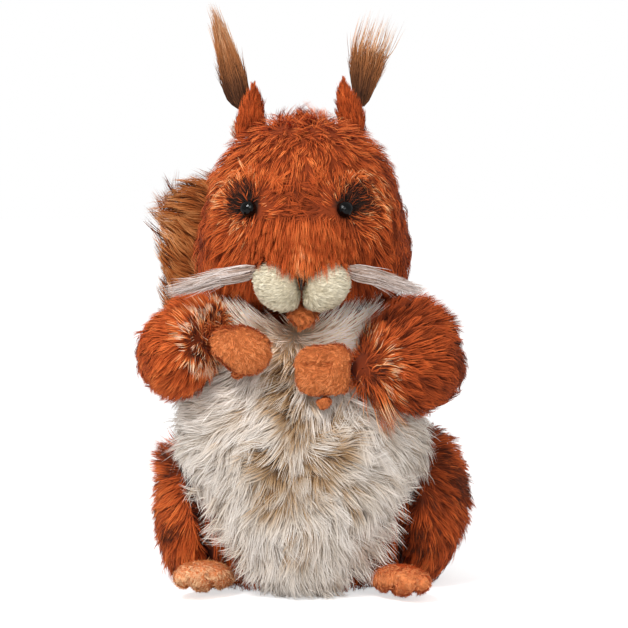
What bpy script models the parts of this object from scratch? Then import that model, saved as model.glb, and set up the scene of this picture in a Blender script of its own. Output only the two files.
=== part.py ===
"""A sitting plush red squirrel with its paws held at its chest, as sewn and stuffed pieces.

Metres, +Z up. The squirrel faces -Y. The origin is on the floor, under the middle of the seat.
Left and right are the squirrel's own, so its left side is at +X.
"""

import math

import bmesh
import bpy
from mathutils import Matrix, Vector, noise
from mathutils.bvhtree import BVHTree

SIDES = {"left": 1, "right": -1}
ACROSS, BACKWARDS, UPWARDS = Vector((1, 0, 0)), Vector((0, 1, 0)), Vector((0, 0, 1))

# Gap between pieces that touch, and how far the tool that cuts a seat is grown to leave it
CLEARANCE = 0.0003
SEAT_GROWTH = 0.0004

# Torso: a stuffed pear that flattens on the floor
TORSO_HEIGHT = 0.147
TORSO_WIDTH = 0.124
TORSO_DEPTH = 0.104
SEAT_SQUASH = 0.011
TORSO_PROFILE = ((0, 0.34), (0.06, 0.66), (0.18, 0.88), (0.38, 1), (0.6, 0.97), (0.8, 0.8), (0.93, 0.6), (1, 0.4))

# Belly panel: long cream pile over the front of the torso
BELLY_PILE = 0.011
BELLY_SETBACK = 0.45
BELLY_FOOT = 0.0015
BELLY_TOP_GAP = 0.002
BELLY_PROFILE = (
    (0, 0.34), (0.1, 0.52), (0.3, 0.67), (0.45, 0.79), (0.57, 0.88), (0.72, 0.85), (0.88, 0.62), (1, 0.36)
)

# Head: a wide-cheeked ball with a snout, sewn on the neck
HEAD_HEIGHT = 0.100
HEAD_WIDTH = 0.108
HEAD_DEPTH = 0.094
HEAD_FORWARD = 0.010
HEAD_SHIFT = 0.0015
NECK_SINK = 0.010
HEAD_PROFILE = ((0, 0.44), (0.07, 0.76), (0.2, 0.97), (0.38, 1), (0.58, 0.94), (0.78, 0.81), (0.92, 0.57), (1, 0.26))
SNOUT_REACH = 0.016
SNOUT_SPREAD = 0.040
SNOUT_HEIGHT = 0.026
CHEEK_PUFF = 0.004
CHEEK_SPREAD = 0.034
CREST_RISE = 0.004
CREST_SPREAD = 0.016

# Muzzle: two short-pile pads with a stitched nose and mouth line between them, and a lower lip
MUZZLE_WIDTH = 0.046
MUZZLE_OVERFILL = 1.3
MUZZLE_HEIGHT = 0.024
MUZZLE_DEPTH = 0.026
MUZZLE_RISE = 0.0185
MUZZLE_TILT = 30
NOSE_WIDTH = 0.0075
NOSE_HEIGHT = 0.0105
NOSE_THREAD = 0.0016
CHIN_WIDTH = 0.014
CHIN_DEPTH = 0.012
CHIN_HEIGHT = 0.012

# Safety eyes: a dome on a shank, held by a lock washer inside the head
EYE_DIAMETER = 0.0085
EYE_DOME = 0.0042
EYE_SPACING = 0.047
EYE_OFFSET = -0.0025
EYE_RISE = 0.055
EYE_SEAT = 0.0004
SHANK_DIAMETER = 0.0030
SHANK_LENGTH = 0.0110
WASHER_DIAMETER = 0.0120
WASHER_THICKNESS = 0.0016
WASHER_DEPTH = 0.0050

# Ears: cupped leaves of short rust pile with a cream lining and a long tuft in the cup
EAR_WIDTH = 0.022
EAR_CUP_RADIUS = 0.0062
EAR_THICKNESS = 0.0034
EAR_SPREAD = 0.050
EAR_BACK = 0.004
EAR_ROOT = 0.006
EAR_LEAVES = {"left": (0.030, -3), "right": (0.027, 2)}
EAR_TURN = 34
EAR_POINT, EAR_TIP, EAR_FULLNESS = 2.2, 0.1, 0.7
LINING_THICKNESS = 0.0016
LINING_SHARE = 0.80
TUFT_WIDTH = 0.0100
TUFT_DEPTH = 0.0062
TUFT_ROOT = 0.30

# Whiskers: a flat lock of white pile on each cheek
WHISKER_HEIGHT = 0.0062
WHISKER_DEPTH = 0.0040
WHISKER_ROOT_RISE = 0.0265

# Arms: one bent sack each, with a short-pile mitt and thumb that rest on the chest
ARM_THICKNESS = {"left": 0.056, "right": 0.051}
ARM_PROFILE = ((0, 0.76), (0.15, 0.98), (0.4, 1.05), (0.62, 0.96), (0.82, 0.70), (1, 0.31))
ARM_BALLS = 10
SACK_SMOOTHING = 3
SHOULDER_HEIGHT = {"left": 0.124, "right": 0.128}
SHOULDER_FORWARD = 0.004
SHOULDER_SINK = 0.010
SHOULDER_PULL = {"left": (0.036, -0.018, -0.006), "right": (0.028, -0.018, -0.008)}
WRIST_PULL = {"left": (0.034, 0.004, -0.006), "right": (0.030, 0.004, -0.006)}
PAW_LENGTH = 0.034
PAW_WIDTH = 0.0255
PAW_THICKNESS = 0.019
PAW_SQUARENESS = 0.4
PAW_LIFT = {"left": 0.004, "right": 0.014}
PAW_SINK = 0.001
PAW_PLACES = {"left": (0.0135, 0.115), "right": (-0.031, 0.124)}
PAW_ROLL = {"left": -4, "right": 8}
THUMB_LENGTH = 0.014
THUMB_WIDTH = 0.009

# Haunches and feet
HAUNCH_LENGTH = 0.078
HAUNCH_HEIGHT = {"left": 0.080, "right": 0.074}
HAUNCH_THICKNESS = {"left": 0.052, "right": 0.044}
HAUNCH_SINK = 0.026
HAUNCH_BACK = 0.010
HAUNCH_SQUASH = 0.002
FOOT_LENGTH = 0.046
FOOT_WIDTH = 0.025
FOOT_HEIGHT = 0.0165
FOOT_SPREAD = 0.096
FOOT_FORWARD = {"left": 0.044, "right": 0.038}
FOOT_TURN = 32
TOE_GROOVE = 0.0022

# Tail: a plume that leaves the small of the back and stands up behind it
TAIL_THICKNESS = 0.074
TAIL_FLATNESS = 0.84
TAIL_ROOT_HEIGHT = 0.030
TAIL_ROOT_SINK = 0.010

# Relief of the pile: how deep the locks stand and how far apart they are
RUST_LOCK_DEPTH = 0.0024
RUST_LOCK_SPACING = 0.0075
CREAM_LOCK_DEPTH = 0.0030
CREAM_LOCK_SPACING = 0.0085
TAIL_LOCK_DEPTH = 0.0045
TAIL_LOCK_SPACING = 0.0120
LOCK_STRETCH = 2.6
LOCK_LEAN = 0.7

# Where each lock runs, from its root: outwards, along Y, up, and its share of the lock's thickness
TUFT_RUNS = {
    "left": (
        (0, 0, 0, 0.7), (0.001, 0, 0.010, 1), (0.004, 0, 0.023, 1), (0.008, 0, 0.037, 0.66), (0.013, 0, 0.050, 0.16)
    ),
    "right": (
        (0, 0, 0, 0.7), (0.003, 0, 0.010, 1), (0.007, 0, 0.024, 0.9), (0.011, 0, 0.040, 0.52), (0.016, 0, 0.058, 0.12)
    ),
}
WHISKER_RUNS = {
    "left": ((0, 0.004, 0, 0.8), (0.012, 0.001, -0.002, 1), (0.026, 0.006, -0.007, 0.8), (0.042, 0.015, -0.013, 0.25)),
    "right": ((0, 0.004, 0, 0.8), (0.013, 0.001, -0.002, 1), (0.030, 0.006, -0.007, 0.8), (0.050, 0.016, -0.013, 0.25)),
}
TAIL_RUN = (
    (0, 0, 0, 0.34), (-0.006, 0.022, 0.004, 0.62), (-0.016, 0.042, 0.028, 0.84), (-0.026, 0.045, 0.066, 0.96),
    (-0.035, 0.040, 0.104, 1), (-0.041, 0.038, 0.136, 0.92), (-0.045, 0.048, 0.160, 0.7), (-0.047, 0.064, 0.168, 0.34),
)

# Roundness of the meshes
BODY_SIDES = 16
HEAD_SIDES = 20
SACK_SIDES = 24
SACK_RINGS = 15
LOCK_SIDES = 6
TURNED_STEPS = 14
DOME_STEPS = 6

# Colours: base colour and roughness
RUST = ((0.47, 0.12, 0.028), 0.9)
DARK_RUST = ((0.36, 0.10, 0.03), 0.9)
CREAM = ((0.66, 0.58, 0.50), 0.9)
MUZZLE_CREAM = ((0.74, 0.68, 0.52), 0.85)
PAW_ORANGE = ((0.60, 0.20, 0.065), 0.85)
TUFT_BROWN = ((0.16, 0.07, 0.03), 0.8)
WHISKER_WHITE = ((0.70, 0.64, 0.60), 0.8)
EYE_BLACK = ((0.006, 0.005, 0.005), 0.08)
WASHER_WHITE = ((0.8, 0.8, 0.78), 0.5)
NOSE_BROWN = ((0.05, 0.03, 0.02), 0.7)


def clear_scene():
    for obj in list(bpy.data.objects):
        bpy.data.objects.remove(obj)


def new_collection(name):
    collection = bpy.data.collections.new(name)
    bpy.context.scene.collection.children.link(collection)
    return collection


def add_object(name, mesh, collection, finish=None):
    obj = bpy.data.objects.new(name, mesh)
    collection.objects.link(obj)
    if finish:
        colour, roughness = finish
        material = bpy.data.materials.new(name)
        material.use_nodes = True
        shader = material.node_tree.nodes["Principled BSDF"]
        shader.inputs["Base Color"].default_value = (*colour, 1)
        shader.inputs["Roughness"].default_value = roughness
        shader.inputs["Metallic"].default_value = 0
        obj.data.materials.clear()
        obj.data.materials.append(material)
    return obj


def evaluated_mesh(obj):
    graph = bpy.context.evaluated_depsgraph_get()
    return bpy.data.meshes.new_from_object(obj.evaluated_get(graph))


def share_at(profile, place):
    """The profile's share at this place, straight between its points."""
    for (low, share), (high, next_share) in zip(profile, profile[1:]):
        if place <= high:
            return share + (next_share - share) * (place - low) / (high - low)
    return profile[-1][1]


def level_sections(profile, bottom, height, half_width, half_depth, x=0, y=0):
    """Level ellipses up a form: (centre, width axis, depth axis, half width, half depth)."""
    sections = []
    for place, share in profile:
        centre = Vector((x, y, bottom + place * height))
        sections.append((centre, ACROSS, BACKWARDS, share * half_width, share * half_depth))
    return sections


def run_sections(points, facing, half_width, half_depth):
    """Ellipses square to a run of (point, share), with the depth axis kept near the facing direction."""
    sections = []
    for index, (point, share) in enumerate(points):
        before, after = points[max(index - 1, 0)][0], points[min(index + 1, len(points) - 1)][0]
        along = (after - before).normalized()
        depth = (facing - along * facing.dot(along)).normalized()
        sections.append((point, depth.cross(along), depth, share * half_width, share * half_depth))
    return sections


def soft_form(name, sections, sides, levels, collection, finish):
    """A closed cage through the sections, subdivided. The cage is widened by what subdividing takes off."""
    widen = 6 / (4 + 2 * math.cos(2 * math.pi / sides))
    mesh = bmesh.new()
    rings = []
    for centre, width_axis, depth_axis, half_width, half_depth in sections:
        ring = []
        for step in range(sides):
            angle = 2 * math.pi * step / sides
            across = width_axis * half_width * math.cos(angle)
            ring.append(mesh.verts.new(centre + widen * (across + depth_axis * half_depth * math.sin(angle))))
        rings.append(ring)
    for lower, upper in zip(rings, rings[1:]):
        for step in range(sides):
            other = (step + 1) % sides
            mesh.faces.new((lower[step], lower[other], upper[other], upper[step]))
    mesh.faces.new(rings[0])
    mesh.faces.new(rings[-1])
    bmesh.ops.recalc_face_normals(mesh, faces=mesh.faces)
    data = bpy.data.meshes.new(name)
    mesh.to_mesh(data)
    mesh.free()
    obj = add_object(name, data, collection, finish)
    subdivision = obj.modifiers.new("soften", "SUBSURF")
    subdivision.levels = subdivision.render_levels = levels
    apply_modifiers(obj)
    return obj


def apply_modifiers(obj):
    """Keeps the evaluated shape, less any scrap that a seat left apart from the piece."""
    data = evaluated_mesh(obj)
    obj.modifiers.clear()
    mesh = bmesh.new()
    mesh.from_mesh(data)
    bmesh.ops.remove_doubles(mesh, verts=mesh.verts, dist=1e-6)
    main_body = max(bodies_of(mesh), key=len)
    bmesh.ops.delete(mesh, geom=[face for face in mesh.faces if face not in main_body], context="FACES")
    mesh.to_mesh(data)
    mesh.free()
    obj.data = data
    data.shade_smooth()


def bodies_of(mesh):
    """Sets of faces that edges join."""
    bodies, seen = [], set()
    for start in mesh.faces:
        if start in seen:
            continue
        body, waiting = {start}, [start]
        while waiting:
            for edge in waiting.pop().edges:
                for face in edge.link_faces:
                    if face not in body:
                        body.add(face)
                        waiting.append(face)
        seen |= body
        bodies.append(body)
    return bodies


def swell(obj, centre, spread, offset):
    """Moves what lies within the spread of the centre by up to the offset, fading to its edge."""
    for vertex in obj.data.vertices:
        near = 1 - min((vertex.co - centre).length / spread, 1) ** 2
        vertex.co += offset * near**2
    obj.data.update()


def raise_pile(obj, depth, spacing, lay, smooth_places=()):
    """Locks of pile: the surface rises and falls along the lay, and leans with it. It stays smooth at some places."""
    lay = lay.normalized()
    moved = []
    for vertex in obj.data.vertices:
        across = vertex.co - lay * vertex.co.dot(lay) * (1 - 1 / LOCK_STRETCH)
        rise = depth * noise.noise(across / spacing)
        for place, radius in smooth_places:
            rise *= min(max((vertex.co - place).length / radius - 1, 0), 1)
        moved.append(vertex.co + vertex.normal * rise + lay * rise * LOCK_LEAN)
    for vertex, place in zip(obj.data.vertices, moved):
        vertex.co = place
    obj.data.update()


def settle_on_floor(obj, floor=0.0):
    """What would reach below the floor is pressed flat against it."""
    for vertex in obj.data.vertices:
        vertex.co.z = max(vertex.co.z, floor)
    obj.data.update()


def press_flat(obj, side, gap):
    """Presses a piece flat against the middle plane, with a gap to it."""
    for vertex in obj.data.vertices:
        vertex.co.x = side * max(side * vertex.co.x, gap)
    obj.data.update()


def as_tool(obj):
    """A cutter is drawn as wires and never rendered."""
    obj.hide_render = True
    obj.display_type = "WIRE"
    return obj


def cut_with(obj, tool):
    cut = obj.modifiers.new("cut", "BOOLEAN")
    cut.operation = "DIFFERENCE"
    cut.solver = "EXACT"
    cut.object = tool


def split_into_triangles(data):
    """Flat faces only, so that one cut leaves nothing that the next cut would split in another way."""
    mesh = bmesh.new()
    mesh.from_mesh(data)
    bmesh.ops.triangulate(mesh, faces=mesh.faces)
    mesh.to_mesh(data)
    mesh.free()


def surface_tree(obj):
    return BVHTree.FromPolygons([v.co for v in obj.data.vertices], [p.vertices[:] for p in obj.data.polygons])


def seat_against(obj, neighbours, cutters):
    """Cuts the piece back to a clearance from each neighbour that it is sewn to or pressed on.

    The whole form of the piece, grown a little, is kept first: it is what cuts the pieces seated on it later.
    """
    split_into_triangles(obj.data)
    tool = as_tool(add_object(f"{obj.name}_grown", obj.data.copy(), cutters))
    for vertex in tool.data.vertices:
        vertex.co += vertex.normal * SEAT_GROWTH
    for neighbour in neighbours:
        grown = cutters.objects[f"{neighbour.name}_grown"]
        if surface_tree(obj).overlap(surface_tree(grown)):
            cut_with(obj, grown)
            apply_modifiers(obj)


def surface_hit(obj, start, direction):
    """Where a ray from outside first meets the piece, and the normal there."""
    place, normal, _, _ = surface_tree(obj).ray_cast(Vector(start), Vector(direction))
    return place, normal


def side_of(obj, side, y, z):
    """The piece's surface at this depth and height, seen from that side."""
    return surface_hit(obj, (side, y, z), (-side, 0, 0))[0]


def front_of(obj, x, z):
    return surface_hit(obj, (x, -1, z), (0, 1, 0))


def turned(name, profile, collection, finish=None):
    """A profile of (radius, height), outer side from top to bottom, turned about Z."""
    data = bpy.data.meshes.new(name)
    points = [(radius, 0, height) for radius, height in profile]
    data.from_pydata(points, [(step, step + 1) for step in range(len(points) - 1)], [])
    obj = add_object(name, data, collection, finish)
    screw = obj.modifiers.new("turn", "SCREW")
    screw.steps = screw.render_steps = TURNED_STEPS
    screw.use_merge_vertices = True
    screw.merge_threshold = 0.00005
    apply_modifiers(obj)
    return obj


def ellipsoid(name, centre, halves, tilt, collection, finish, segments=18, rings=10):
    """A ball stretched to its half sizes, turned by the tilt matrix and put at its centre."""
    mesh = bmesh.new()
    bmesh.ops.create_uvsphere(mesh, u_segments=segments, v_segments=rings, radius=1)
    pose = Matrix.Translation(centre) @ tilt.to_4x4() @ Matrix.Diagonal((*halves, 1))
    bmesh.ops.transform(mesh, verts=mesh.verts, matrix=pose)
    data = bpy.data.meshes.new(name)
    mesh.to_mesh(data)
    mesh.free()
    obj = add_object(name, data, collection, finish)
    data.shade_smooth()
    return obj


def sack(name, run, radius, collection, finish):
    """A skin round a run of balls, each a point with its share of the radius, seen from their middle."""
    middle = sum((point for point, _ in run), Vector()) / len(run)
    mesh = bmesh.new()
    bmesh.ops.create_uvsphere(mesh, u_segments=SACK_SIDES, v_segments=SACK_RINGS, radius=1)
    for vertex in mesh.verts:
        outward, reach = vertex.co.normalized(), 0
        for point, share in run:
            along = (point - middle).dot(outward)
            inside = (share * radius) ** 2 - (point - middle).length_squared + along**2
            if inside > 0:
                reach = max(reach, along + math.sqrt(inside))
        vertex.co = middle + outward * reach
    for _ in range(SACK_SMOOTHING):
        bmesh.ops.smooth_vert(mesh, verts=mesh.verts, factor=0.5, use_axis_x=True, use_axis_y=True, use_axis_z=True)
    data = bpy.data.meshes.new(name)
    mesh.to_mesh(data)
    mesh.free()
    obj = add_object(name, data, collection, finish)
    data.shade_smooth()
    return obj


def run_from(root, side, run):
    """The points of a limb's run from its root, mirrored on the right, with their shares."""
    return [(root + Vector((side * out, along, up)), share) for out, along, up, share in run]


def make_torso(parts, cutters):
    height = TORSO_HEIGHT + SEAT_SQUASH
    sections = level_sections(TORSO_PROFILE, -SEAT_SQUASH, height, TORSO_WIDTH / 2, TORSO_DEPTH / 2)
    torso = soft_form("torso", sections, BODY_SIDES, 1, parts, DARK_RUST)
    raise_pile(torso, RUST_LOCK_DEPTH, RUST_LOCK_SPACING * 1.6, -UPWARDS)
    settle_on_floor(torso)
    seat_against(torso, [], cutters)
    return torso


def make_head(parts, cutters, torso):
    bottom = TORSO_HEIGHT - NECK_SINK
    half_width, half_depth = HEAD_WIDTH / 2, HEAD_DEPTH / 2
    sections = level_sections(HEAD_PROFILE, bottom, HEAD_HEIGHT, half_width, half_depth, HEAD_SHIFT, -HEAD_FORWARD)
    head = soft_form("head", sections, HEAD_SIDES, 1, parts, RUST)
    front = -HEAD_FORWARD - HEAD_DEPTH / 2
    swell(head, Vector((0, front, bottom + SNOUT_HEIGHT)), SNOUT_SPREAD, Vector((0, -SNOUT_REACH, 0)))
    for side in SIDES.values():
        cheek = Vector((HEAD_SHIFT + side * HEAD_WIDTH / 2, -HEAD_FORWARD, bottom + SNOUT_HEIGHT))
        swell(head, cheek, CHEEK_SPREAD, Vector((side * CHEEK_PUFF, 0, 0)))
    crown = Vector((HEAD_SHIFT, -HEAD_FORWARD + CREST_SPREAD / 2, bottom + HEAD_HEIGHT))
    swell(head, crown, CREST_SPREAD, Vector((0, 0, CREST_RISE)))
    eyes = [(front_of(head, eye_x(side), bottom + EYE_RISE)[0], EYE_DIAMETER / 2) for side in SIDES.values()]
    raise_pile(head, RUST_LOCK_DEPTH, RUST_LOCK_SPACING, Vector((0, 0.5, -1)), eyes)
    seat_against(head, [torso], cutters)
    return head


def eye_x(side):
    return EYE_OFFSET + side * EYE_SPACING / 2


def make_eyes(parts, cutters, head):
    """Both eyes with their washers, and the sockets that they need in the head."""
    rise = TORSO_HEIGHT - NECK_SINK + EYE_RISE
    radius, shank, washer = EYE_DIAMETER / 2, SHANK_DIAMETER / 2, WASHER_DIAMETER / 2
    for name, side in SIDES.items():
        place, normal = front_of(head, eye_x(side), rise)
        pose = Matrix.Translation(place - normal * EYE_SEAT) @ normal.to_track_quat("Z", "Y").to_matrix().to_4x4()
        angles = [step * math.pi / 2 / DOME_STEPS for step in range(DOME_STEPS + 1)]
        dome = [(radius * math.sin(angle), EYE_DOME * math.cos(angle)) for angle in angles]
        eye = turned(f"eye_{name}", [*dome, (shank, 0), (shank, -SHANK_LENGTH), (0, -SHANK_LENGTH)], parts, EYE_BLACK)
        top = -WASHER_DEPTH
        bore = shank + CLEARANCE
        under = top - WASHER_THICKNESS
        ring = [(bore, top), (washer, top), (washer, under), (bore, under), (bore, top)]
        lock = turned(f"eye_washer_{name}", ring, parts, WASHER_WHITE)
        room, deep = washer + CLEARANCE, under - CLEARANCE
        socket = turned(f"eye_socket_{name}", [
            (0, EYE_DOME), (radius + CLEARANCE, EYE_DOME), (radius + CLEARANCE, -CLEARANCE), (bore, -CLEARANCE),
            (bore, top + CLEARANCE), (room, top + CLEARANCE), (room, deep), (bore, deep),
            (bore, -SHANK_LENGTH - CLEARANCE), (0, -SHANK_LENGTH - CLEARANCE),
        ], cutters)
        for piece in (eye, lock, socket):
            piece.data.transform(pose)
        cut_with(head, as_tool(socket))
    apply_modifiers(head)


def make_belly(parts, cutters, torso, head):
    """A bib of long pile: the torso's own section, moved forward and thickened by the pile."""
    sections = []
    height = TORSO_HEIGHT - BELLY_TOP_GAP - BELLY_FOOT
    for place, share in BELLY_PROFILE:
        z = BELLY_FOOT + place * height
        body = share_at(TORSO_PROFILE, (z + SEAT_SQUASH) / (TORSO_HEIGHT + SEAT_SQUASH))
        half_depth = body * TORSO_DEPTH / 2
        centre = Vector((0, -BELLY_SETBACK * half_depth, z))
        half_width = share * (TORSO_WIDTH / 2 + BELLY_PILE)
        depth = (1 - BELLY_SETBACK) * half_depth + BELLY_PILE
        sections.append((centre, ACROSS, BACKWARDS, half_width, depth))
    belly = soft_form("belly_panel", sections, HEAD_SIDES, 1, parts, CREAM)
    raise_pile(belly, CREAM_LOCK_DEPTH, CREAM_LOCK_SPACING, -UPWARDS)
    settle_on_floor(belly, CLEARANCE)
    seat_against(belly, [torso, head], cutters)
    return belly


def make_muzzle(parts, cutters, head, belly):
    """Two pads pressed together, the stitched nose in their cleft, and the lip below."""
    rise = TORSO_HEIGHT - NECK_SINK + MUZZLE_RISE
    half = Vector((MUZZLE_WIDTH / 4 * MUZZLE_OVERFILL, MUZZLE_DEPTH / 2, MUZZLE_HEIGHT / 2))
    front = front_of(head, 0, rise)[0]
    pads = []
    for name, side in SIDES.items():
        tilt = Matrix.Rotation(math.radians(-side * MUZZLE_TILT), 3, "Y")
        centre = Vector((side * MUZZLE_WIDTH / 4, front.y, rise))
        pad = ellipsoid(f"muzzle_{name}", centre, half, tilt, parts, MUZZLE_CREAM)
        press_flat(pad, side, CLEARANCE / 2)
        pads.append(pad)
    cleft = front_of(pads[0], NOSE_WIDTH / 2, rise + MUZZLE_HEIGHT / 4)[0]
    top = Vector((0, cleft.y, cleft.z + NOSE_HEIGHT / 4))
    shares = ((0, 0.7), (0.08, 1), (0.25, 0.55), (0.4, NOSE_THREAD / NOSE_WIDTH), (1, NOSE_THREAD / NOSE_WIDTH))
    run = [(top - UPWARDS * NOSE_HEIGHT * place, share) for place, share in shares]
    nose_sections = [
        (point, ACROSS, BACKWARDS, share * NOSE_WIDTH / 2, NOSE_THREAD) for point, share in run
    ]
    nose = soft_form("nose_stitch", nose_sections, LOCK_SIDES, 1, parts, NOSE_BROWN)
    seat_against(nose, [head], cutters)
    for pad in pads:
        seat_against(pad, [head, nose, belly], cutters)
    chin_centre = Vector((0, front.y + CHIN_DEPTH / 2, rise - MUZZLE_HEIGHT / 2 - CHIN_HEIGHT / 8))
    chin_half = Vector((CHIN_WIDTH, CHIN_DEPTH, CHIN_HEIGHT)) / 2
    chin = ellipsoid("chin", chin_centre, chin_half, Matrix.Identity(3), parts, PAW_ORANGE, 14, 8)
    seat_against(chin, [head, *pads, belly], cutters)
    return [*pads, nose, chin]


def ear_leaf(name, pose, height, share, radius, thickness, parts, finish):
    """A leaf bent round a cup: an open sheet with a pointed top, thickened and softened."""
    columns, rows = 4, 5
    points, faces = [], []
    for row in range(rows + 1):
        up = row / rows
        half_angle = share * EAR_WIDTH / 2 * max(1 - up**EAR_POINT, EAR_TIP) ** EAR_FULLNESS / EAR_CUP_RADIUS
        for column in range(columns + 1):
            angle = half_angle * (2 * column / columns - 1)
            across, inward = math.sin(angle) * radius, math.cos(angle) * radius
            points.append((across, inward - EAR_CUP_RADIUS, up * height * (0.5 + share / 2)))
    for row in range(rows):
        for column in range(columns):
            corner = row * (columns + 1) + column
            faces.append((corner, corner + 1, corner + columns + 2, corner + columns + 1))
    data = bpy.data.meshes.new(name)
    data.from_pydata(points, [], faces)
    leaf = add_object(name, data, parts, finish)
    thicken = leaf.modifiers.new("thicken", "SOLIDIFY")
    thicken.thickness = thickness
    thicken.offset = 0
    soften = leaf.modifiers.new("soften", "SUBSURF")
    soften.levels = soften.render_levels = 1
    apply_modifiers(leaf)
    leaf.data.transform(pose)
    mesh = bmesh.new()
    mesh.from_mesh(leaf.data)
    bmesh.ops.recalc_face_normals(mesh, faces=mesh.faces)
    mesh.to_mesh(leaf.data)
    mesh.free()
    return leaf


def make_ear(parts, cutters, head, name):
    """A cupped ear that opens outwards, its lining, and the long tuft that stands in the cup."""
    side = SIDES[name]
    height, lean = EAR_LEAVES[name]
    root, _ = surface_hit(head, (side * EAR_SPREAD / 2, EAR_BACK, 1), (0, 0, -1))
    turn = Matrix.Rotation(math.radians(side * (180 - EAR_TURN)), 4, "Z")
    tip = Matrix.Rotation(math.radians(side * lean), 4, "Y")
    pose = Matrix.Translation(root - Vector((0, 0, EAR_ROOT))) @ tip @ turn
    ear = ear_leaf(f"ear_{name}", pose, height + EAR_ROOT, 1, EAR_CUP_RADIUS, EAR_THICKNESS, parts, RUST)
    seat_against(ear, [head], cutters)
    inner = EAR_CUP_RADIUS - EAR_THICKNESS / 2 - CLEARANCE - LINING_THICKNESS / 2
    tall = height + EAR_ROOT
    lining = ear_leaf(f"ear_lining_{name}", pose, tall, LINING_SHARE, inner, LINING_THICKNESS, parts, CREAM)
    seat_against(lining, [head, ear], cutters)
    start = pose @ Vector((0, inner - EAR_CUP_RADIUS - TUFT_DEPTH / 2, EAR_ROOT + TUFT_ROOT * height))
    run = run_from(start, side, TUFT_RUNS[name])
    sections = run_sections(run, BACKWARDS, TUFT_WIDTH / 2, TUFT_DEPTH / 2)
    tuft = soft_form(f"ear_tuft_{name}", sections, LOCK_SIDES, 1, parts, TUFT_BROWN)
    seat_against(tuft, [head, ear, lining], cutters)


def make_whisker(parts, cutters, head, pad, name):
    """A flat tapering lock that springs from behind the muzzle pad and droops over the cheek."""
    side = SIDES[name]
    z = TORSO_HEIGHT - NECK_SINK + WHISKER_ROOT_RISE
    root = side_of(pad, side, middle_of(pad).y, z)
    run = run_from(root - Vector((side * WHISKER_HEIGHT / 2, 0, 0)), side, WHISKER_RUNS[name])
    sections = run_sections(run, BACKWARDS, WHISKER_HEIGHT / 2, WHISKER_DEPTH / 2)
    whisker = soft_form(f"whisker_{name}", sections, LOCK_SIDES, 1, parts, WHISKER_WHITE)
    seat_against(whisker, [head, pad], cutters)
    return whisker


def middle_of(obj):
    """The middle of a piece's box."""
    corners = [Vector(corner) for corner in obj.bound_box]
    return (corners[0] + corners[6]) / 2


def make_paw(name, parts, belly):
    """A mitt that lies on the chest, squared off as its seams are, and the turn that it has."""
    side = SIDES[name]
    out, rise = PAW_PLACES[name]
    chest = front_of(belly, out, rise)[0]
    centre = chest - Vector((0, PAW_LIFT[name] + PAW_THICKNESS / 2, 0))
    tilt = Matrix.Rotation(math.radians(side * PAW_ROLL[name]), 3, "Y")
    half = Vector((PAW_LENGTH, PAW_THICKNESS, PAW_WIDTH)) / 2
    paw = ellipsoid(f"paw_{name}", centre, half, tilt, parts, PAW_ORANGE)
    square_off(paw, centre, tilt, half)
    return paw, centre


def make_arm(parts, cutters, neighbours, name):
    """A bent sack from the shoulder to the wrist, and the mitt and thumb on its end."""
    side = SIDES[name]
    torso, belly = neighbours[:2]
    paw, centre = make_paw(name, parts, belly)
    shoulder = side_of(torso, side, -SHOULDER_FORWARD, SHOULDER_HEIGHT[name]) - Vector((side * SHOULDER_SINK, 0, 0))
    wrist = centre + Vector((side * (PAW_LENGTH / 2 - PAW_SINK), 0, 0))
    leaving, arriving = shoulder + mirrored(SHOULDER_PULL[name], side), wrist + mirrored(WRIST_PULL[name], side)
    half = ARM_THICKNESS[name] / 2
    run = []
    for step in range(ARM_BALLS + 1):
        t = step / ARM_BALLS
        near, far = (1 - t) ** 2, t**2
        point = shoulder * near * (1 - t) + leaving * 3 * near * t + arriving * 3 * far * (1 - t) + wrist * far * t
        run.append((point, share_at(ARM_PROFILE, t)))
    arm = sack(f"arm_{name}", run, half, parts, RUST)
    raise_pile(arm, RUST_LOCK_DEPTH, RUST_LOCK_SPACING, Vector((side, 0.2, -0.6)))
    seat_against(arm, neighbours, cutters)
    seat_against(paw, [arm, *neighbours], cutters)
    thumb_half = Vector((THUMB_WIDTH, THUMB_WIDTH, THUMB_LENGTH)) / 2
    thumb_centre = centre - Vector((0, 0, PAW_WIDTH / 2))
    thumb = ellipsoid(f"thumb_{name}", thumb_centre, thumb_half, Matrix.Identity(3), parts, PAW_ORANGE, 12, 8)
    seat_against(thumb, [paw, arm, *neighbours], cutters)
    return [arm, paw, thumb]


def mirrored(offset, side):
    """An offset given for the left side, on this side."""
    out, along, up = offset
    return Vector((side * out, along, up))


def square_off(paw, centre, tilt, half):
    """Fills a ball out towards its box, as a sewn mitt fills out to its seams."""
    turn_back = tilt.inverted()
    for vertex in paw.data.vertices:
        local = turn_back @ (vertex.co - centre)
        flat = Vector((local.x / half.x, local.z / half.z))
        if flat.length > 1e-6:
            grow = 1 + PAW_SQUARENESS * abs(flat.x * flat.y) * min(flat.length, 1)
            vertex.co = centre + tilt @ Vector((local.x * grow, local.y, local.z * grow))
    paw.data.update()


def make_haunch(parts, cutters, neighbours, name):
    """A thick lens of stuffed rust plush on the side of the torso, flattened by the floor."""
    side = SIDES[name]
    torso = neighbours[0]
    height, thickness = HAUNCH_HEIGHT[name], HAUNCH_THICKNESS[name]
    middle = height / 2
    flank = side_of(torso, side, HAUNCH_BACK, middle)
    centre = Vector((flank.x + side * (thickness / 2 - HAUNCH_SINK), HAUNCH_BACK, middle))
    half = Vector((thickness / 2, HAUNCH_LENGTH / 2, height / 2 + HAUNCH_SQUASH))
    haunch = ellipsoid(f"haunch_{name}", centre, half, Matrix.Identity(3), parts, RUST, 22, 14)
    raise_pile(haunch, RUST_LOCK_DEPTH, RUST_LOCK_SPACING, -UPWARDS)
    settle_on_floor(haunch)
    seat_against(haunch, neighbours, cutters)
    return haunch


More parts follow.
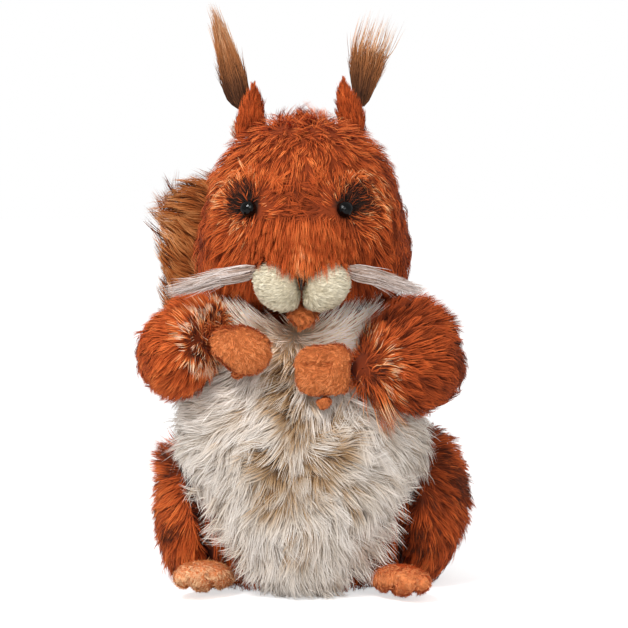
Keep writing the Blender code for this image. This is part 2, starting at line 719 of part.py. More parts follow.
def make_foot(parts, cutters, neighbours, name):
    """A low mitt that points forwards and outwards, with two grooves between its toes."""
    side = SIDES[name]
    turn = Matrix.Rotation(math.radians(side * FOOT_TURN), 3, "Z")
    centre = Vector((side * FOOT_SPREAD / 2, -FOOT_FORWARD[name], FOOT_HEIGHT / 2))
    half = Vector((FOOT_WIDTH, FOOT_LENGTH, FOOT_HEIGHT)) / 2
    foot = ellipsoid(f"foot_{name}", centre, half, turn, parts, PAW_ORANGE, 18, 10)
    turn_back = turn.inverted()
    for vertex in foot.data.vertices:
        local = turn_back @ (vertex.co - centre)
        toes = min(max(-local.y / half.y, 0), 1)
        groove = toes * TOE_GROOVE * math.cos(3 * math.pi * local.x / half.x) if abs(local.x) < half.x * 0.7 else 0
        local.y += groove
        local.z -= toes * groove * 0.5 if local.z > 0 else 0
        vertex.co = centre + turn @ local
    foot.data.update()
    settle_on_floor(foot)
    seat_against(foot, neighbours, cutters)
    return foot


def make_tail(parts, cutters, neighbours):
    """A plume that leaves the small of the back, stands up behind it and curls back at the tip."""
    torso = neighbours[0]
    back, _ = surface_hit(torso, (0, 1, TAIL_ROOT_HEIGHT), (0, -1, 0))
    run = run_from(back - Vector((0, TAIL_ROOT_SINK, 0)), 1, TAIL_RUN)
    half = TAIL_THICKNESS / 2
    sections = run_sections(run, Vector((0, 1, 0.2)), half, half * TAIL_FLATNESS)
    tail = soft_form("tail", sections, BODY_SIDES, 1, parts, DARK_RUST)
    raise_pile(tail, TAIL_LOCK_DEPTH, TAIL_LOCK_SPACING, Vector((-0.2, 0, 1)))
    settle_on_floor(tail)
    seat_against(tail, neighbours, cutters)
    return tail


def main():
    clear_scene()
    parts = new_collection("plush_squirrel")
    cutters = new_collection("cutters")
    torso = make_torso(parts, cutters)
    head = make_head(parts, cutters, torso)
    belly = make_belly(parts, cutters, torso, head)
    make_eyes(parts, cutters, head)
    muzzle = make_muzzle(parts, cutters, head, belly)
    for name in SIDES:
        make_ear(parts, cutters, head, name)
    whiskers = [make_whisker(parts, cutters, head, pad, name) for pad, name in zip(muzzle, SIDES)]
    body = [torso, belly, head, *muzzle, *whiskers]
    arms = []
    for name in SIDES:
        arms += make_arm(parts, cutters, [*body, *arms], name)
    haunches = [make_haunch(parts, cutters, [*body, *arms], name) for name in SIDES]
    for name in SIDES:
        make_foot(parts, cutters, [torso, belly, *haunches], name)
    make_tail(parts, cutters, [torso, head, *arms, *haunches])


main()
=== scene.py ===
import math

import bmesh
import bpy
import numpy as np
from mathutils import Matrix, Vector
from mathutils.bvhtree import BVHTree
from mathutils.kdtree import KDTree


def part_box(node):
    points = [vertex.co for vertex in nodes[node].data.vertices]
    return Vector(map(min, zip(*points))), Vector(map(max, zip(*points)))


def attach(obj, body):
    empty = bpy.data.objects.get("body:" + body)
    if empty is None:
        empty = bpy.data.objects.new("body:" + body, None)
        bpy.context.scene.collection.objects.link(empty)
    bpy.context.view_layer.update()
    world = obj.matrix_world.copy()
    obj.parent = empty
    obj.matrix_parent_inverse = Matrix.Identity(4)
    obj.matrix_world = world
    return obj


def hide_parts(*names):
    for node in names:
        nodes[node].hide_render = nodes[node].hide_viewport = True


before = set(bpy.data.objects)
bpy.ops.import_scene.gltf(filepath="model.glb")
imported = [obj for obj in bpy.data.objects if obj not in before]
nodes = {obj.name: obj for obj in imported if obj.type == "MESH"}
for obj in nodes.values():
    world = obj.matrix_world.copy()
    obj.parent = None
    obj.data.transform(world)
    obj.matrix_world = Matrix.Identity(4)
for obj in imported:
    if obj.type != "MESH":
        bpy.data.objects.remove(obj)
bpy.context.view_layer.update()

# Lengths are metres. +X is the squirrel's own left, -Y its front and +Z up.


# --- numbers

def unit(v):
    """Each row of v at length 1."""
    return v / np.maximum(np.linalg.norm(v, axis=-1, keepdims=True), 1e-12)


def smooth(low, high, x):
    """0 below low, 1 above high and an even slope between them."""
    t = np.clip((x - low) / (high - low), 0, 1)
    return t * t * (3 - 2 * t)


def waves(seed, size):
    """A soft noise of about that grain in metres, from -1 to 1, as a function of places."""
    rng, octaves = np.random.default_rng(seed), 5
    heading = unit(rng.normal(size=(octaves * 4, 3)))
    pitch = 2 * math.pi / size * rng.uniform(0.55, 1.8, octaves * 4)
    phase = rng.uniform(0, 2 * math.pi, octaves * 4)
    return lambda p: np.sin(p @ (heading * pitch[:, None]).T + phase).sum(1) / math.sqrt(octaves * 2) / 2


def tangle(seed, size, p):
    """Three soft noises at each place, as a direction."""
    return np.stack([waves(seed + k, size)(p) for k in range(3)], 1)


def vectors(x, y, z):
    """One vector a row, from columns or plain numbers."""
    return np.stack(np.broadcast_arrays(x, y, z), 1)


def box(name):
    """The low and the high corner of a CAD node."""
    return [np.array(corner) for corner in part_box(name)]


def ellipse(p, centre, radii):
    """How far places lie from a centre seen from the front, 1 on the rim of the ellipse."""
    return np.hypot((p[:, 0] - centre[0]) / radii[0], (p[:, 2] - centre[1]) / radii[1])


def linear(red, green, blue):
    """A colour given as 0 to 255 display numbers, for a shader."""
    return tuple(
        c / 12.92 if c <= 0.04045 else ((c + 0.055) / 1.055) ** 2.4 for c in (red / 255, green / 255, blue / 255)
    ) + (1,)


# --- skins

def new_object(name, data):
    obj = bpy.data.objects.new(name, data)
    bpy.context.scene.collection.objects.link(obj)
    return obj


def evaluated(obj):
    """obj's mesh with its modifiers applied, in their place."""
    graph = bpy.context.evaluated_depsgraph_get()
    made = bpy.data.meshes.new_from_object(obj.evaluated_get(graph))
    obj.modifiers.clear()
    obj.data = made


def read(items, label):
    values = np.empty(len(items) * 3, np.float32)
    items.foreach_get(label, values)
    return values.reshape(-1, 3).astype(float)


def places(mesh):
    return read(mesh.vertices, "co")


def normals(mesh):
    return read(mesh.vertex_normals, "vector")


def put(mesh, co):
    mesh.vertices.foreach_set("co", co.astype(np.float32).ravel())
    mesh.update()


def skin_of(name, inset, voxel, settle=3):
    """The backing cloth of a plush piece: its node's form, remeshed evenly, drawn in by the pile's depth and eased."""
    work = bmesh.new()
    work.from_mesh(nodes[name].data)
    bmesh.ops.remove_doubles(work, verts=work.verts, dist=0.00001)
    mesh = bpy.data.meshes.new(name + "_skin")
    work.to_mesh(mesh)
    work.free()
    skin = new_object(name + "_skin", mesh)
    remesh = skin.modifiers.new("even", "REMESH")
    remesh.mode = "VOXEL"
    remesh.voxel_size = voxel
    evaluated(skin)
    depth = inset(places(skin.data))[:, None] if callable(inset) else inset
    for _ in range(4):
        put(skin.data, places(skin.data) - normals(skin.data) * depth / 4)
        ease = skin.modifiers.new("ease", "SMOOTH")
        ease.factor, ease.iterations = 0.5, settle
        evaluated(skin)
    return skin


def stuff(skin, cap):
    """Cloth under pressure, so that the backing swells as stuffing would fill it. No point moves further than cap."""
    rest = places(skin.data)
    cloth = skin.modifiers.new("stuffing", "CLOTH")
    cloth.settings.quality = 5
    cloth.settings.mass = 0.2
    cloth.settings.use_pressure = True
    cloth.settings.uniform_pressure_force = 4
    cloth.settings.effector_weights.gravity = 0
    cloth.collision_settings.use_collision = False
    for step in range(1, 21):
        bpy.context.scene.frame_set(step)
    evaluated(skin)
    bpy.context.scene.frame_set(1)
    move = places(skin.data) - rest
    far = np.linalg.norm(move, axis=1, keepdims=True)
    put(skin.data, rest + move * np.minimum(1, cap / np.maximum(far, 1e-9)))


def tree_of(name):
    """A search tree of a CAD node's surface."""
    mesh = nodes[name].data
    mesh.calc_loop_triangles()
    return BVHTree.FromPolygons([v.co for v in mesh.vertices], [t.vertices for t in mesh.loop_triangles])


trees = {name: tree_of(name) for name in nodes}


def within(name, p):
    """Whether a place lies in a CAD node: a ray from it leaves through an odd number of walls."""
    ray, walls, at = Vector((0.36, 0.48, 0.8)), 0, Vector(p)
    while walls < 20:
        hit = trees[name].ray_cast(at, ray)[0]
        if hit is None:
            break
        walls, at = walls + 1, hit + ray * 0.00001
    return walls % 2 == 1


def depth_in(name, p):
    """How far a place lies inside a CAD node, negative outside it."""
    found, _, _, far = trees[name].find_nearest(Vector(p), 0.02)
    if found is None:
        return -1.0
    return far if within(name, p) else -far


def surface(skin, hidden_by, probe=0.002):
    """A skin's points, normals and triangles, and which triangles bear pile: those not pressed against a neighbour."""
    mesh = skin.data
    mesh.calc_loop_triangles()
    faces = np.empty(len(mesh.loop_triangles) * 3, np.int32)
    mesh.loop_triangles.foreach_get("vertices", faces)
    faces = faces.reshape(-1, 3)
    co, no = places(mesh), normals(mesh)
    test = co[faces].mean(1) + unit(no[faces].mean(1)) * probe
    bare = np.zeros(len(faces), bool)
    for name in hidden_by:
        low, high = box(name)
        for i in np.flatnonzero(((test > low - 0.001) & (test < high + 0.001)).all(1) & ~bare):
            bare[i] = depth_in(name, test[i]) > -0.0003
    return {"points": co, "normals": no, "faces": faces, "open": ~bare}


# --- pile

def turned(v, axis, angle):
    """Each row of v turned about its own axis, which is at right angles to it."""
    return v * np.cos(angle)[:, None] + np.cross(axis, v) * np.sin(angle)[:, None]


def kept_out(path, names, gap):
    """Strand points that fall inside a node are put back on its surface, a gap proud of it."""
    flat = path.reshape(-1, 3)
    for name in names:
        low, high = box(name)
        for i in np.flatnonzero(((flat > low) & (flat < high)).all(1)):
            found, normal, _, far = trees[name].find_nearest(Vector(flat[i]), 0.02)
            if found is not None and (far < gap or within(name, flat[i])):
                flat[i] = np.array(found + normal * gap)
    return flat.reshape(path.shape)


def blades(path, half, shown, tone, light):
    """Flat blades along rows of points, half as wide to each side, that close at their tips."""
    count, steps = len(path), path.shape[1] - 1

    def each(left, right):
        return np.concatenate([left[:, :-1], right[:, :-1], left[:, -1:]], 1)

    start = (np.arange(count) * (2 * steps + 1))[:, None]
    quads = np.array([(k, k + 1, steps + k + 1, steps + k) for k in range(steps - 1)])
    return {
        "points": each(path + half, path - half).reshape(-1, 3),
        "normals": each(shown, shown).reshape(-1, 3),
        "tone": each(tone, tone).ravel(),
        "light": each(light, light).ravel(),
        "quads": (start[:, :, None] + quads[None]).reshape(-1, 4),
        "tris": start + np.array([[steps - 1, 2 * steps, 2 * steps - 1]]),
        "edge": np.tile(np.r_[np.zeros(steps), np.ones(steps), 0.5], count),
    }


def pile(skin, count, seed, lay, reach, paint, width=0.00032, rise=(40, 6), steps=3, lock=10, pull=0.5,
         wander=0.15, clear=(), gap=0.0004, spread=0.16, where=None, bend=None):
    """Strands of pile on a skin, as flat tapering blades.

    lay gives the way the pile is brushed at a place, reach its length, and paint its place on the piece's colour ramp
    and its lightness at each level. rise is the strand's angle off the skin in degrees at its root and at its tip.
    Strands gather into locks of about that many, which draw together towards their tips. bend moves the tips."""
    rng = np.random.default_rng(seed)
    co, no, faces = skin["points"], skin["normals"], skin["faces"][skin["open"]]
    corner = co[faces]
    area = np.linalg.norm(np.cross(corner[:, 1] - corner[:, 0], corner[:, 2] - corner[:, 0]), axis=1)
    if where is not None:
        area = area * np.clip(where(corner.mean(1)), 0, None)
    total = np.cumsum(area)
    face = np.searchsorted(total / total[-1], (np.arange(count) + rng.random(count)) / count).clip(0, len(faces) - 1)
    a, b = np.sqrt(rng.random(count)), rng.random(count)
    part = np.stack([1 - a, a * (1 - b), a * b], 1)[:, :, None]
    root = (corner[face] * part).sum(1)
    normal = unit((no[faces[face]] * part).sum(1))
    # locks
    heads = rng.choice(count, max(count // lock, 1), replace=False)
    search = KDTree(len(heads))
    for i, h in enumerate(heads):
        search.insert(root[h], i)
    search.balance()
    owner = np.array([search.find(p)[1] for p in root])
    leader = heads[owner]
    of_lock = rng.normal(size=(len(heads), 4))[owner]
    own = rng.normal(size=(count, 4))
    # direction
    way = lay(root, normal)
    way = unit(way - normal * (way * normal).sum(1, keepdims=True))
    way = turned(way, normal, wander * of_lock[:, 0] + spread * own[:, 0])
    length = reach(root) * (1 + 0.12 * of_lock[:, 1].clip(-2, 2)) * (1 + 0.12 * own[:, 1].clip(-2, 2))
    tilt = np.radians(6 * of_lock[:, 2] + 5 * own[:, 2])
    path, level = [root - normal * 0.0004], np.linspace(0, 1, steps + 1)
    for k in range(steps):
        share = (k + 0.5) / steps
        angle = np.radians(rise[0] + (rise[1] - rise[0]) * share) + tilt
        step = way * np.cos(angle)[:, None] + normal * np.sin(angle)[:, None]
        path.append(path[-1] + step * (length / steps)[:, None])
    path = np.stack(path, 1)
    if bend is not None:
        path = path + bend(root)[:, None, :] * (level**1.6)[:, None]
    draw = (pull * level**1.3)[:, None]
    path = path * (1 - draw) + path[leader] * draw
    path = kept_out(path, clear, gap)
    path[:, :, 2] = np.maximum(path[:, :, 2], 0.0003 + 0.0004 * rng.random((count, 1)))
    # blades
    along = unit(np.diff(path, axis=1, append=path[:, -1:] * 2 - path[:, -2:-1]))
    face_out = turned(normal, way, rng.uniform(-0.9, 0.9, count))
    side = unit(np.cross(along, face_out[:, None, :]))
    taper = np.interp(level, (0, 0.35, 0.75, 1), (1, 0.95, 0.62, 0.0))[:, None]
    half = side * taper * (width / 2) * (1 + 0.25 * own[:, 3:4, None].clip(-2, 2))
    blade_normal = unit(np.cross(side, along))
    blade_normal *= np.sign((blade_normal * normal[:, None, :]).sum(2, keepdims=True) + 1e-9)
    shown = unit(0.55 * normal[:, None, :] + 0.45 * blade_normal)
    return blades(path, half, shown, *paint(root, level, of_lock[:, 3], own))


def grown(count, seed, lay, reach, paint, **settings):
    """A layer of pile, to be grown once its skin is made."""
    return lambda skin: pile(skin, count, seed, lay, reach, paint, **settings)


def assemble(name, skin, piles, skin_paint):
    """One mesh of a skin and the pile that grows on it, with the colour place and lightness of each point."""
    tone, light = skin_paint(skin["points"])
    sets = [{"points": skin["points"], "normals": skin["normals"], "tone": tone, "light": light,
             "quads": np.zeros((0, 4), int), "tris": skin["faces"],
             "edge": (np.arange(len(tone)) % 3) / 2.0}] + piles
    first = np.cumsum([0] + [len(s["points"]) for s in sets])

    def of_all(label):
        return np.concatenate([s[label] for s in sets])

    co = of_all("points")
    quads = np.concatenate([s["quads"] + f for s, f in zip(sets, first)])
    tris = np.concatenate([s["tris"] + f for s, f in zip(sets, first)])
    corners = np.concatenate([quads.ravel(), tris.ravel()]).astype(np.int32)
    starts = np.concatenate([np.arange(len(quads)) * 4, len(quads) * 4 + np.arange(len(tris)) * 3]).astype(np.int32)
    mesh = bpy.data.meshes.new(name)
    mesh.vertices.add(len(co))
    mesh.vertices.foreach_set("co", co.astype(np.float32).ravel())
    mesh.loops.add(len(corners))
    mesh.loops.foreach_set("vertex_index", corners)
    mesh.polygons.add(len(starts))
    mesh.polygons.foreach_set("loop_start", starts)
    mesh.polygons.foreach_set("use_smooth", np.ones(len(starts), bool))
    mesh.update(calc_edges=True)
    tone, light = of_all("tone").clip(0, 1), of_all("light").clip(0, 1)
    for label, values in (("tone", tone), ("light", light)):
        mesh.attributes.new(label, "FLOAT", "POINT").data.foreach_set("value", values.astype(np.float32))
    layer = mesh.uv_layers.new(name="OFBake", do_init=False)
    chart = np.stack([0.02 + 0.95 * tone, 0.02 + 0.92 * light + 0.03 * of_all("edge")], 1)
    layer.uv.foreach_set("vector", chart[corners].astype(np.float32).ravel())
    mesh.normals_split_custom_set_from_vertices(of_all("normals").astype(np.float32).tolist())
    return new_object(name, mesh)


# --- materials

def material(name, roughness):
    made = bpy.data.materials.new(name)
    made.use_nodes = True
    shader = made.node_tree.nodes["Principled BSDF"]
    shader.inputs["Roughness"].default_value = roughness
    return made, made.node_tree, shader


def add(tree, kind, **values):
    """A new shader node, with some of its inputs set."""
    node = tree.nodes.new("ShaderNode" + kind)
    for label, value in values.items():
        node.inputs[label.replace("_", " ")].default_value = value
    return node


def join(tree, *links):
    """Links, each given as a node, its output, the next node and its input."""
    for source, output, target, entry in links:
        tree.links.new(source.outputs[output], target.inputs[entry])


def plush(name, stops):
    """Pile whose colour runs along a ramp from root to tip, lighter or darker strand by strand and by the painted
    shade and light in each point's lightness.
    """
    made, tree, shader = material(name, 0.75)
    tone, light, ramp, where, both, shade = (
        add(tree, kind) for kind in ("Attribute", "Attribute", "ValToRGB", "TexCoord", "Math", "HueSaturation"))
    tone.attribute_name, light.attribute_name, both.operation = "tone", "light", "MULTIPLY"
    ends = ramp.color_ramp.elements
    ends[0].color, ends[1].color = linear(*stops[0][1]), linear(*stops[-1][1])
    for place, colour in stops[1:-1]:
        ends.new(place).color = linear(*colour)
    grain = add(tree, "TexNoise", Scale=1400, Detail=2)
    span, fleck, rough = (add(tree, "MapRange", To_Min=low, To_Max=high)
                          for low, high in ((0.5, 1.7), (0.9, 1.1), (0.63, 0.87)))
    join(tree, (tone, "Fac", ramp, "Fac"), (where, "Object", grain, "Vector"), (light, "Fac", span, "Value"),
         (grain, "Fac", fleck, "Value"), (span, "Result", both, 0), (fleck, "Result", both, 1),
         (ramp, "Color", shade, "Color"), (both, "Value", shade, "Value"), (shade, "Color", shader, "Base Color"),
         (grain, "Fac", rough, "Value"), (rough, "Result", shader, "Roughness"))
    shader.inputs["Specular IOR Level"].default_value = 0.12
    shader.inputs["Sheen Weight"].default_value = 0.04
    shader.inputs["Sheen Roughness"].default_value = 0.5
    return made


rust = plush("rust_pile", [
    (0, (22, 15, 14)), (0.12, (52, 33, 24)), (0.3, (120, 49, 22)), (0.5, (192, 85, 37)), (0.68, (228, 127, 65)),
    (0.82, (230, 172, 118)), (1, (244, 228, 206))])
tail_hair = plush("tail_pile", [
    (0, (44, 26, 15)), (0.3, (116, 56, 22)), (0.55, (160, 84, 36)), (0.78, (200, 136, 82)), (1, (240, 226, 210))])
cream = plush("cream_pile", [
    (0, (52, 40, 34)), (0.2, (118, 86, 56)), (0.4, (180, 146, 108)), (0.62, (208, 194, 178)), (1, (241, 236, 231))])
tuft_hair = plush("tuft_pile", [(0, (34, 20, 14)), (0.35, (92, 56, 34)), (0.7, (160, 100, 58)), (1, (222, 178, 138))])
short_orange = plush("short_pile", [
    (0, (120, 56, 24)), (0.4, (208, 118, 64)), (0.7, (232, 152, 96)), (1, (246, 200, 154))])
pad_cream = plush("pad_pile", [(0, (128, 112, 88)), (0.5, (208, 196, 168)), (1, (238, 231, 211))])
whisker_hair = plush("whisker_pile", [(0, (78, 56, 44)), (0.5, (172, 147, 132)), (1, (240, 230, 226))])


# --- the colours of the pile

def rust_paint(seed, base, marks=None):
    """Rust pile: deep at the root, rust in the middle and orange at the tip, with paler and darker locks. Its
    lightness is painted low at the root as painted shade among the strands, and a little high at the tip as painted
    light.
    The pile is painted a little deeper on the squirrel's left side: painted shade on the side away from the key lamp."""
    broad, fine = waves(seed, 0.030), waves(seed + 1, 0.009)

    def paint(p, level, of_lock, own):
        drift = 0.05 * broad(p) + 0.045 * fine(p) + 0.035 * of_lock + 0.03 * own[:, 0]
        # painted shade: deeper towards the squirrel's left side, away from the key lamp
        drift = drift - 0.06 * smooth(-0.01, 0.05, p[:, 0])
        tone = base + drift[:, None] + np.interp(level, (0, 0.4, 1), (-0.10, 0.0, 0.09))
        light = 0.5 + (0.05 * of_lock + 0.08 * own[:, 1])[:, None]
        # painted shade among the strands: lightness lower at the root, and a little painted light at the tip
        light = light + np.interp(level, (0, 0.5, 1), (-0.10, 0, 0.04))
        return (tone, light) if marks is None else marks(p, level, of_lock, own, tone, light)

    return paint


def deep(tone, light):
    """The colour of a backing between the strands, with a lightness that the pieces set low: painted shade under the
    pile.
    """
    return lambda p: (np.full(len(p), tone), np.full(len(p), light))


EYES = {"left": np.array([0.0195, -0.048, 0.1915]), "right": np.array([-0.0245, -0.044, 0.192])}
PATCHES = {"left": ((0.0258, 0.1965), (0.0078, 0.0092)), "right": ((-0.0285, 0.1948), (0.0064, 0.0078))}


def head_marks(p, level, of_lock, own, tone, light):
    """The dark patch round each eye and the pale fringe that rays out of it, most of it on the outer side. A deeper
    streak runs down the brow, whose top is painted lighter as painted light from above. The pile under the chin is
    pale, and its lightness is raised as painted light against the shade under the head."""
    x, y, z = p.T
    front = y < 0
    for side, (centre, radii) in PATCHES.items():
        far = ellipse(p, centre, radii) + 0.20 * own[:, 2].clip(-1.5, 1.5) + 0.14 * of_lock
        patch = ((1 - smooth(0.85, 1.2, far)) * front)[:, None]
        outer = smooth(-0.6, 0.9, (x - centre[0]) / radii[0] * (1 if side == "left" else -1))
        ring = smooth(0.75, 1.05, far) * (1 - smooth(1.5, 2.2, far)) * front * (own[:, 1] + 1.3 * outer > 0.7)
        strays = (0.06 * np.abs(own[:, 0]) + 0.32 * (own[:, 3] > 1.15))[:, None]
        tone = tone * (1 - patch) + patch * (0.02 + 0.08 * smooth(0.2, 1, level) + strays)
        light = light * (1 - 0.25 * patch) + ring[:, None] * 0.03
        tone = tone + ring[:, None] * ((0.26 + 0.10 * own[:, 0:1].clip(-1, 1.0)) * smooth(0.1, 0.8, level))
    streak = np.exp(-(((x - 0.004) / 0.012) ** 2)) * smooth(0.214, 0.200, z)
    # painted light: the top of the brow is lifted, as light from above
    tone = np.minimum(tone + (0.05 * smooth(0.200, 0.212, z) - 0.15 * streak - 0.03)[:, None], 0.84)
    throat = (smooth(0.151, 0.144, z) * (y < -0.03) * smooth(0.050, 0.040, np.abs(x)))[:, None]
    # the throat pile is pale like the chest, and its lightness is raised as painted light against the shade under the
    # head
    return tone * (1 - throat) + (0.80 + 0.05 * own[:, 0:1]) * throat, light + 0.22 * throat


# --- the way the pile lies

def away(centre, droop=0.0, swirl=0.3, seed=5, grain=0.02, crown=0.0, front=1.0):
    """Pile brushed away from a point, falling a little, with a wandering grain and loose curls over the parting."""
    noise = waves(seed, grain)

    def lay(p, n):
        off = (p - np.array(centre)) * np.array([1, front, 1])
        way = unit(off) + np.array([0, 0, -droop])
        way = unit(way + np.cross(n, way) * (swirl * noise(p))[:, None])
        if crown:
            loose = np.exp(-((off[:, 0] ** 2 + off[:, 2] ** 2) / crown**2))[:, None]
            way = way * (1 - 0.8 * loose) + tangle(seed + 400, 0.004, p) * 1.6 * loose
        return unit(way)

    return lay


def even(length, vary=0.0, seed=9):
    noise = waves(seed, 0.02)
    return lambda p: length * (1 + vary * noise(p))


def toward(point):
    """Pile brushed towards a point."""
    return lambda p, n: unit(np.array(point) - p)


def head_lay(p, n):
    """Down the brow and the bridge, out over the cheeks, and out from each eye near it."""
    x, y, z = p.T
    swirl, ruffle = waves(11, 0.026)(p), waves(12, 0.007)(p)
    off = (p - np.array([0.001, -0.020, 0.250])) * np.array([0.35, 1, 1])
    off[:, 2] += 0.006 * ruffle
    side = np.sign(x) * smooth(0.018, 0.038, np.abs(x)) * smooth(0.232, 0.205, z)
    way = unit(off) + vectors(0.75 * side, 0.25 * np.abs(side), 0)
    brow = (np.exp(-(((x - 0.001) / 0.017) ** 2) - (((z - 0.190) / 0.014) ** 2)) * (y < 0))[:, None]
    way = unit(way) + tangle(13, 0.008, p) * np.array([0.9, 0.5, 0.5]) * brow
    crest = (smooth(0.222, 0.232, z) * (np.abs(x) < 0.016))[:, None]
    way = way * (1 - 0.6 * crest) + crest * tangle(16, 0.006, p) * 1.2
    for centre in EYES.values():
        from_eye = p - centre
        near = (1 - smooth(0.012, 0.023, np.linalg.norm(from_eye, axis=1)))[:, None]
        way = way * (1 - near) + unit(from_eye) * near
    low = smooth(0.190, 0.155, z)[:, None] * np.array([0, 0, -0.45])
    return unit(way + low + np.cross(n, way) * (0.4 * swirl + 0.12 * ruffle)[:, None])


def head_reach(p):
    """The pile's length over the head: short round the eyes and on the throat, long on the cheeks and the crest."""
    x, y, z = p.T
    length = 0.0090 + 0.0025 * smooth(0.185, 0.150, z) + 0.0015 * smooth(-0.02, 0.02, y)
    for centre in EYES.values():
        near = 1 - smooth(0.006, 0.014, np.hypot(x - centre[0], z - centre[2]))
        length = length * (1 - 0.40 * near * (y < 0))
    crest = np.exp(-(((x - 0.002) / 0.009) ** 2)) * smooth(0.222, 0.232, z) * (y < 0.0)
    hang = smooth(0.162, 0.146, z)
    throat = hang * smooth(0.044, 0.034, np.abs(x)) * (y < -0.02)
    return length * (1 + 0.2 * crest) + 0.0030 * hang - 0.0085 * throat


def bridge(p):
    """1 on the strip above the muzzle pads, whose pile hangs over them."""
    x, y, z = p.T
    return smooth(0.167, 0.171, z) * smooth(0.192, 0.182, z) * smooth(0.027, 0.020, np.abs(x)) * (y < -0.030)


def bridge_bend(p):
    """The bridge's pile stands forward over the pads and falls in front of them, furthest in the middle."""
    middle = np.exp(-((p[:, 0] / 0.012) ** 2))[:, None]
    return np.array([0, -0.0088, -0.0026]) + middle * np.array([0, -0.0022, -0.0022])


def cheek_bend(p):
    """The pile under the cheeks hangs, at the sides and round the eyes it lies close, and on the crest it stands."""
    x, y, z = p.T
    crest = smooth(0.224, 0.234, z) * smooth(0.016, 0.010, np.abs(x)) * (y < 0)
    close = smooth(0.036, 0.050, np.abs(x)) * np.sign(x)
    eyes = sum(smooth(0.011, 0.006, np.linalg.norm(p - centre, axis=1)) for centre in EYES.values())
    return vectors(-0.0040 * close - 0.0020 * close.clip(0, 1), 0.0008 * eyes,
                   0.0010 * crest - 0.0035 * smooth(0.165, 0.145, z))


def throat_shape(p, n):
    """The head's underside is drawn up, so that the ruff shows below it."""
    under = smooth(0.156, 0.140, p[:, 2]) * smooth(-0.01, -0.03, p[:, 1])
    return p + under[:, None] * np.array([0, 0.0020, 0.0055])


def clear_of_eyes(p):
    """How thickly the head's pile is rooted: densest on the face, and none under the eyes."""
    keep = 0.65 + 0.85 * smooth(0.010, -0.025, p[:, 1])
    for centre in EYES.values():
        far = np.hypot(p[:, 0] - centre[0], p[:, 2] - centre[2])
        keep *= smooth(0.0034, 0.0042, far) + (p[:, 1] > 0)
    return keep


def lashes(p):
    """1 in a close ring round each eye."""
    ring = np.zeros(len(p))
    for centre, radii in PATCHES.values():
        ring = np.maximum(ring, smooth(1.15, 0.9, ellipse(p, centre, radii)) * (p[:, 1] < 0))
    return ring * clear_of_eyes(p)


def head_backing(p):
    """The backing is dark under the eye patches, and its lightness is set low all over: painted shade under the pile.
    """
    dark = np.zeros(len(p))
    for centre, radii in PATCHES.values():
        dark = np.maximum(dark, smooth(1.35, 1.0, ellipse(p, centre, radii)) * (p[:, 1] < 0))
    return 0.34 - 0.29 * dark, 0.34 + 0 * dark


def furred(name, skin, piles, skin_paint, finish):
    piece = assemble(name + "_plush", skin, piles, skin_paint)
    piece.data.materials.append(finish)
    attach(piece, "root")
    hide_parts(name)


def plush_piece(name, finish, inset, voxel, hidden_by, layers, backing, cap=0.0012, probe=0.002,
                shape=None):
    """A stuffed plush piece: a swollen backing, pinched where it is stitched, with its layers of pile."""
    body = skin_of(name, inset, voxel)
    if cap:
        stuff(body, cap)
    if shape is not None:
        put(body.data, shape(places(body.data), normals(body.data)))
    skin = surface(body, hidden_by, probe=probe)
    bpy.data.objects.remove(body)
    under = backing if callable(backing) else deep(*backing)
    furred(name, skin, [grow(skin) for grow in layers], under, finish)


# --- the head

def pairs(*stems):
    """The left and right nodes of each stem."""
    return tuple(stem + side for stem in stems for side in ("_left", "_right"))


FACE = pairs("eye", "muzzle") + ("nose_stitch",)
PAWS, LIMBS = pairs("paw", "foot"), pairs("haunch", "arm")


def bridge_reach(p):
    return even(0.0076, 0.25)(p) + 0.0010 * np.exp(-((p[:, 0] / 0.007) ** 2))


def bridge_marks(p, level, of_lock, own, tone, light):
    """Paler locks just over the nose."""
    gold = np.exp(-(((p[:, 0] + 0.0005) / 0.0045) ** 2)) * smooth(0.184, 0.174, p[:, 2])
    return tone + (gold * (0.16 + 0.05 * of_lock))[:, None] * smooth(0.1, 0.7, level), light


head_paint = rust_paint(21, 0.5, head_marks)
plush_piece("head", rust, 0.0028, 0.004,
            pairs("muzzle", "ear", "arm") + ("torso", "belly_panel", "chin", "tail"),
            [grown(29000, 1, head_lay, head_reach, head_paint, where=clear_of_eyes, clear=FACE, bend=cheek_bend),
             grown(3900, 301, lambda p, n: np.array([0, -0.3, -1.0]) + 0 * p, bridge_reach,
                   rust_paint(303, 0.45, bridge_marks), where=bridge, bend=bridge_bend, rise=(42, 14), clear=FACE,
                   gap=0.0008, lock=7, pull=0.4),
             grown(2400, 302, head_lay, even(0.0060, 0.2), head_paint, where=lashes, clear=FACE, rise=(34, 10),
                   wander=0.35, spread=0.3, lock=5, pull=0.4)],
            head_backing, cap=0.0015, probe=0.0035, shape=throat_shape)


# --- the body

plush_piece("torso", rust, 0.0020, 0.005, LIMBS + ("belly_panel", "head", "tail"),
            [grown(9000, 2, away((0, -0.02, 0.20), droop=0.6, seed=31), even(0.0105, 0.15), rust_paint(41, 0.47),
                   lock=8)], (0.28, 0.3), probe=0.003)

EDDIES = ((0.0165, 0.0840, 0.007, 2.2), (-0.0160, 0.0745, 0.008, -1.7), (0.0050, 0.0800, 0.006, 1.9),
          (-0.0070, 0.1000, 0.008, -1.1), (0.0150, 0.0700, 0.008, 1.3))  # x, z, size and turn


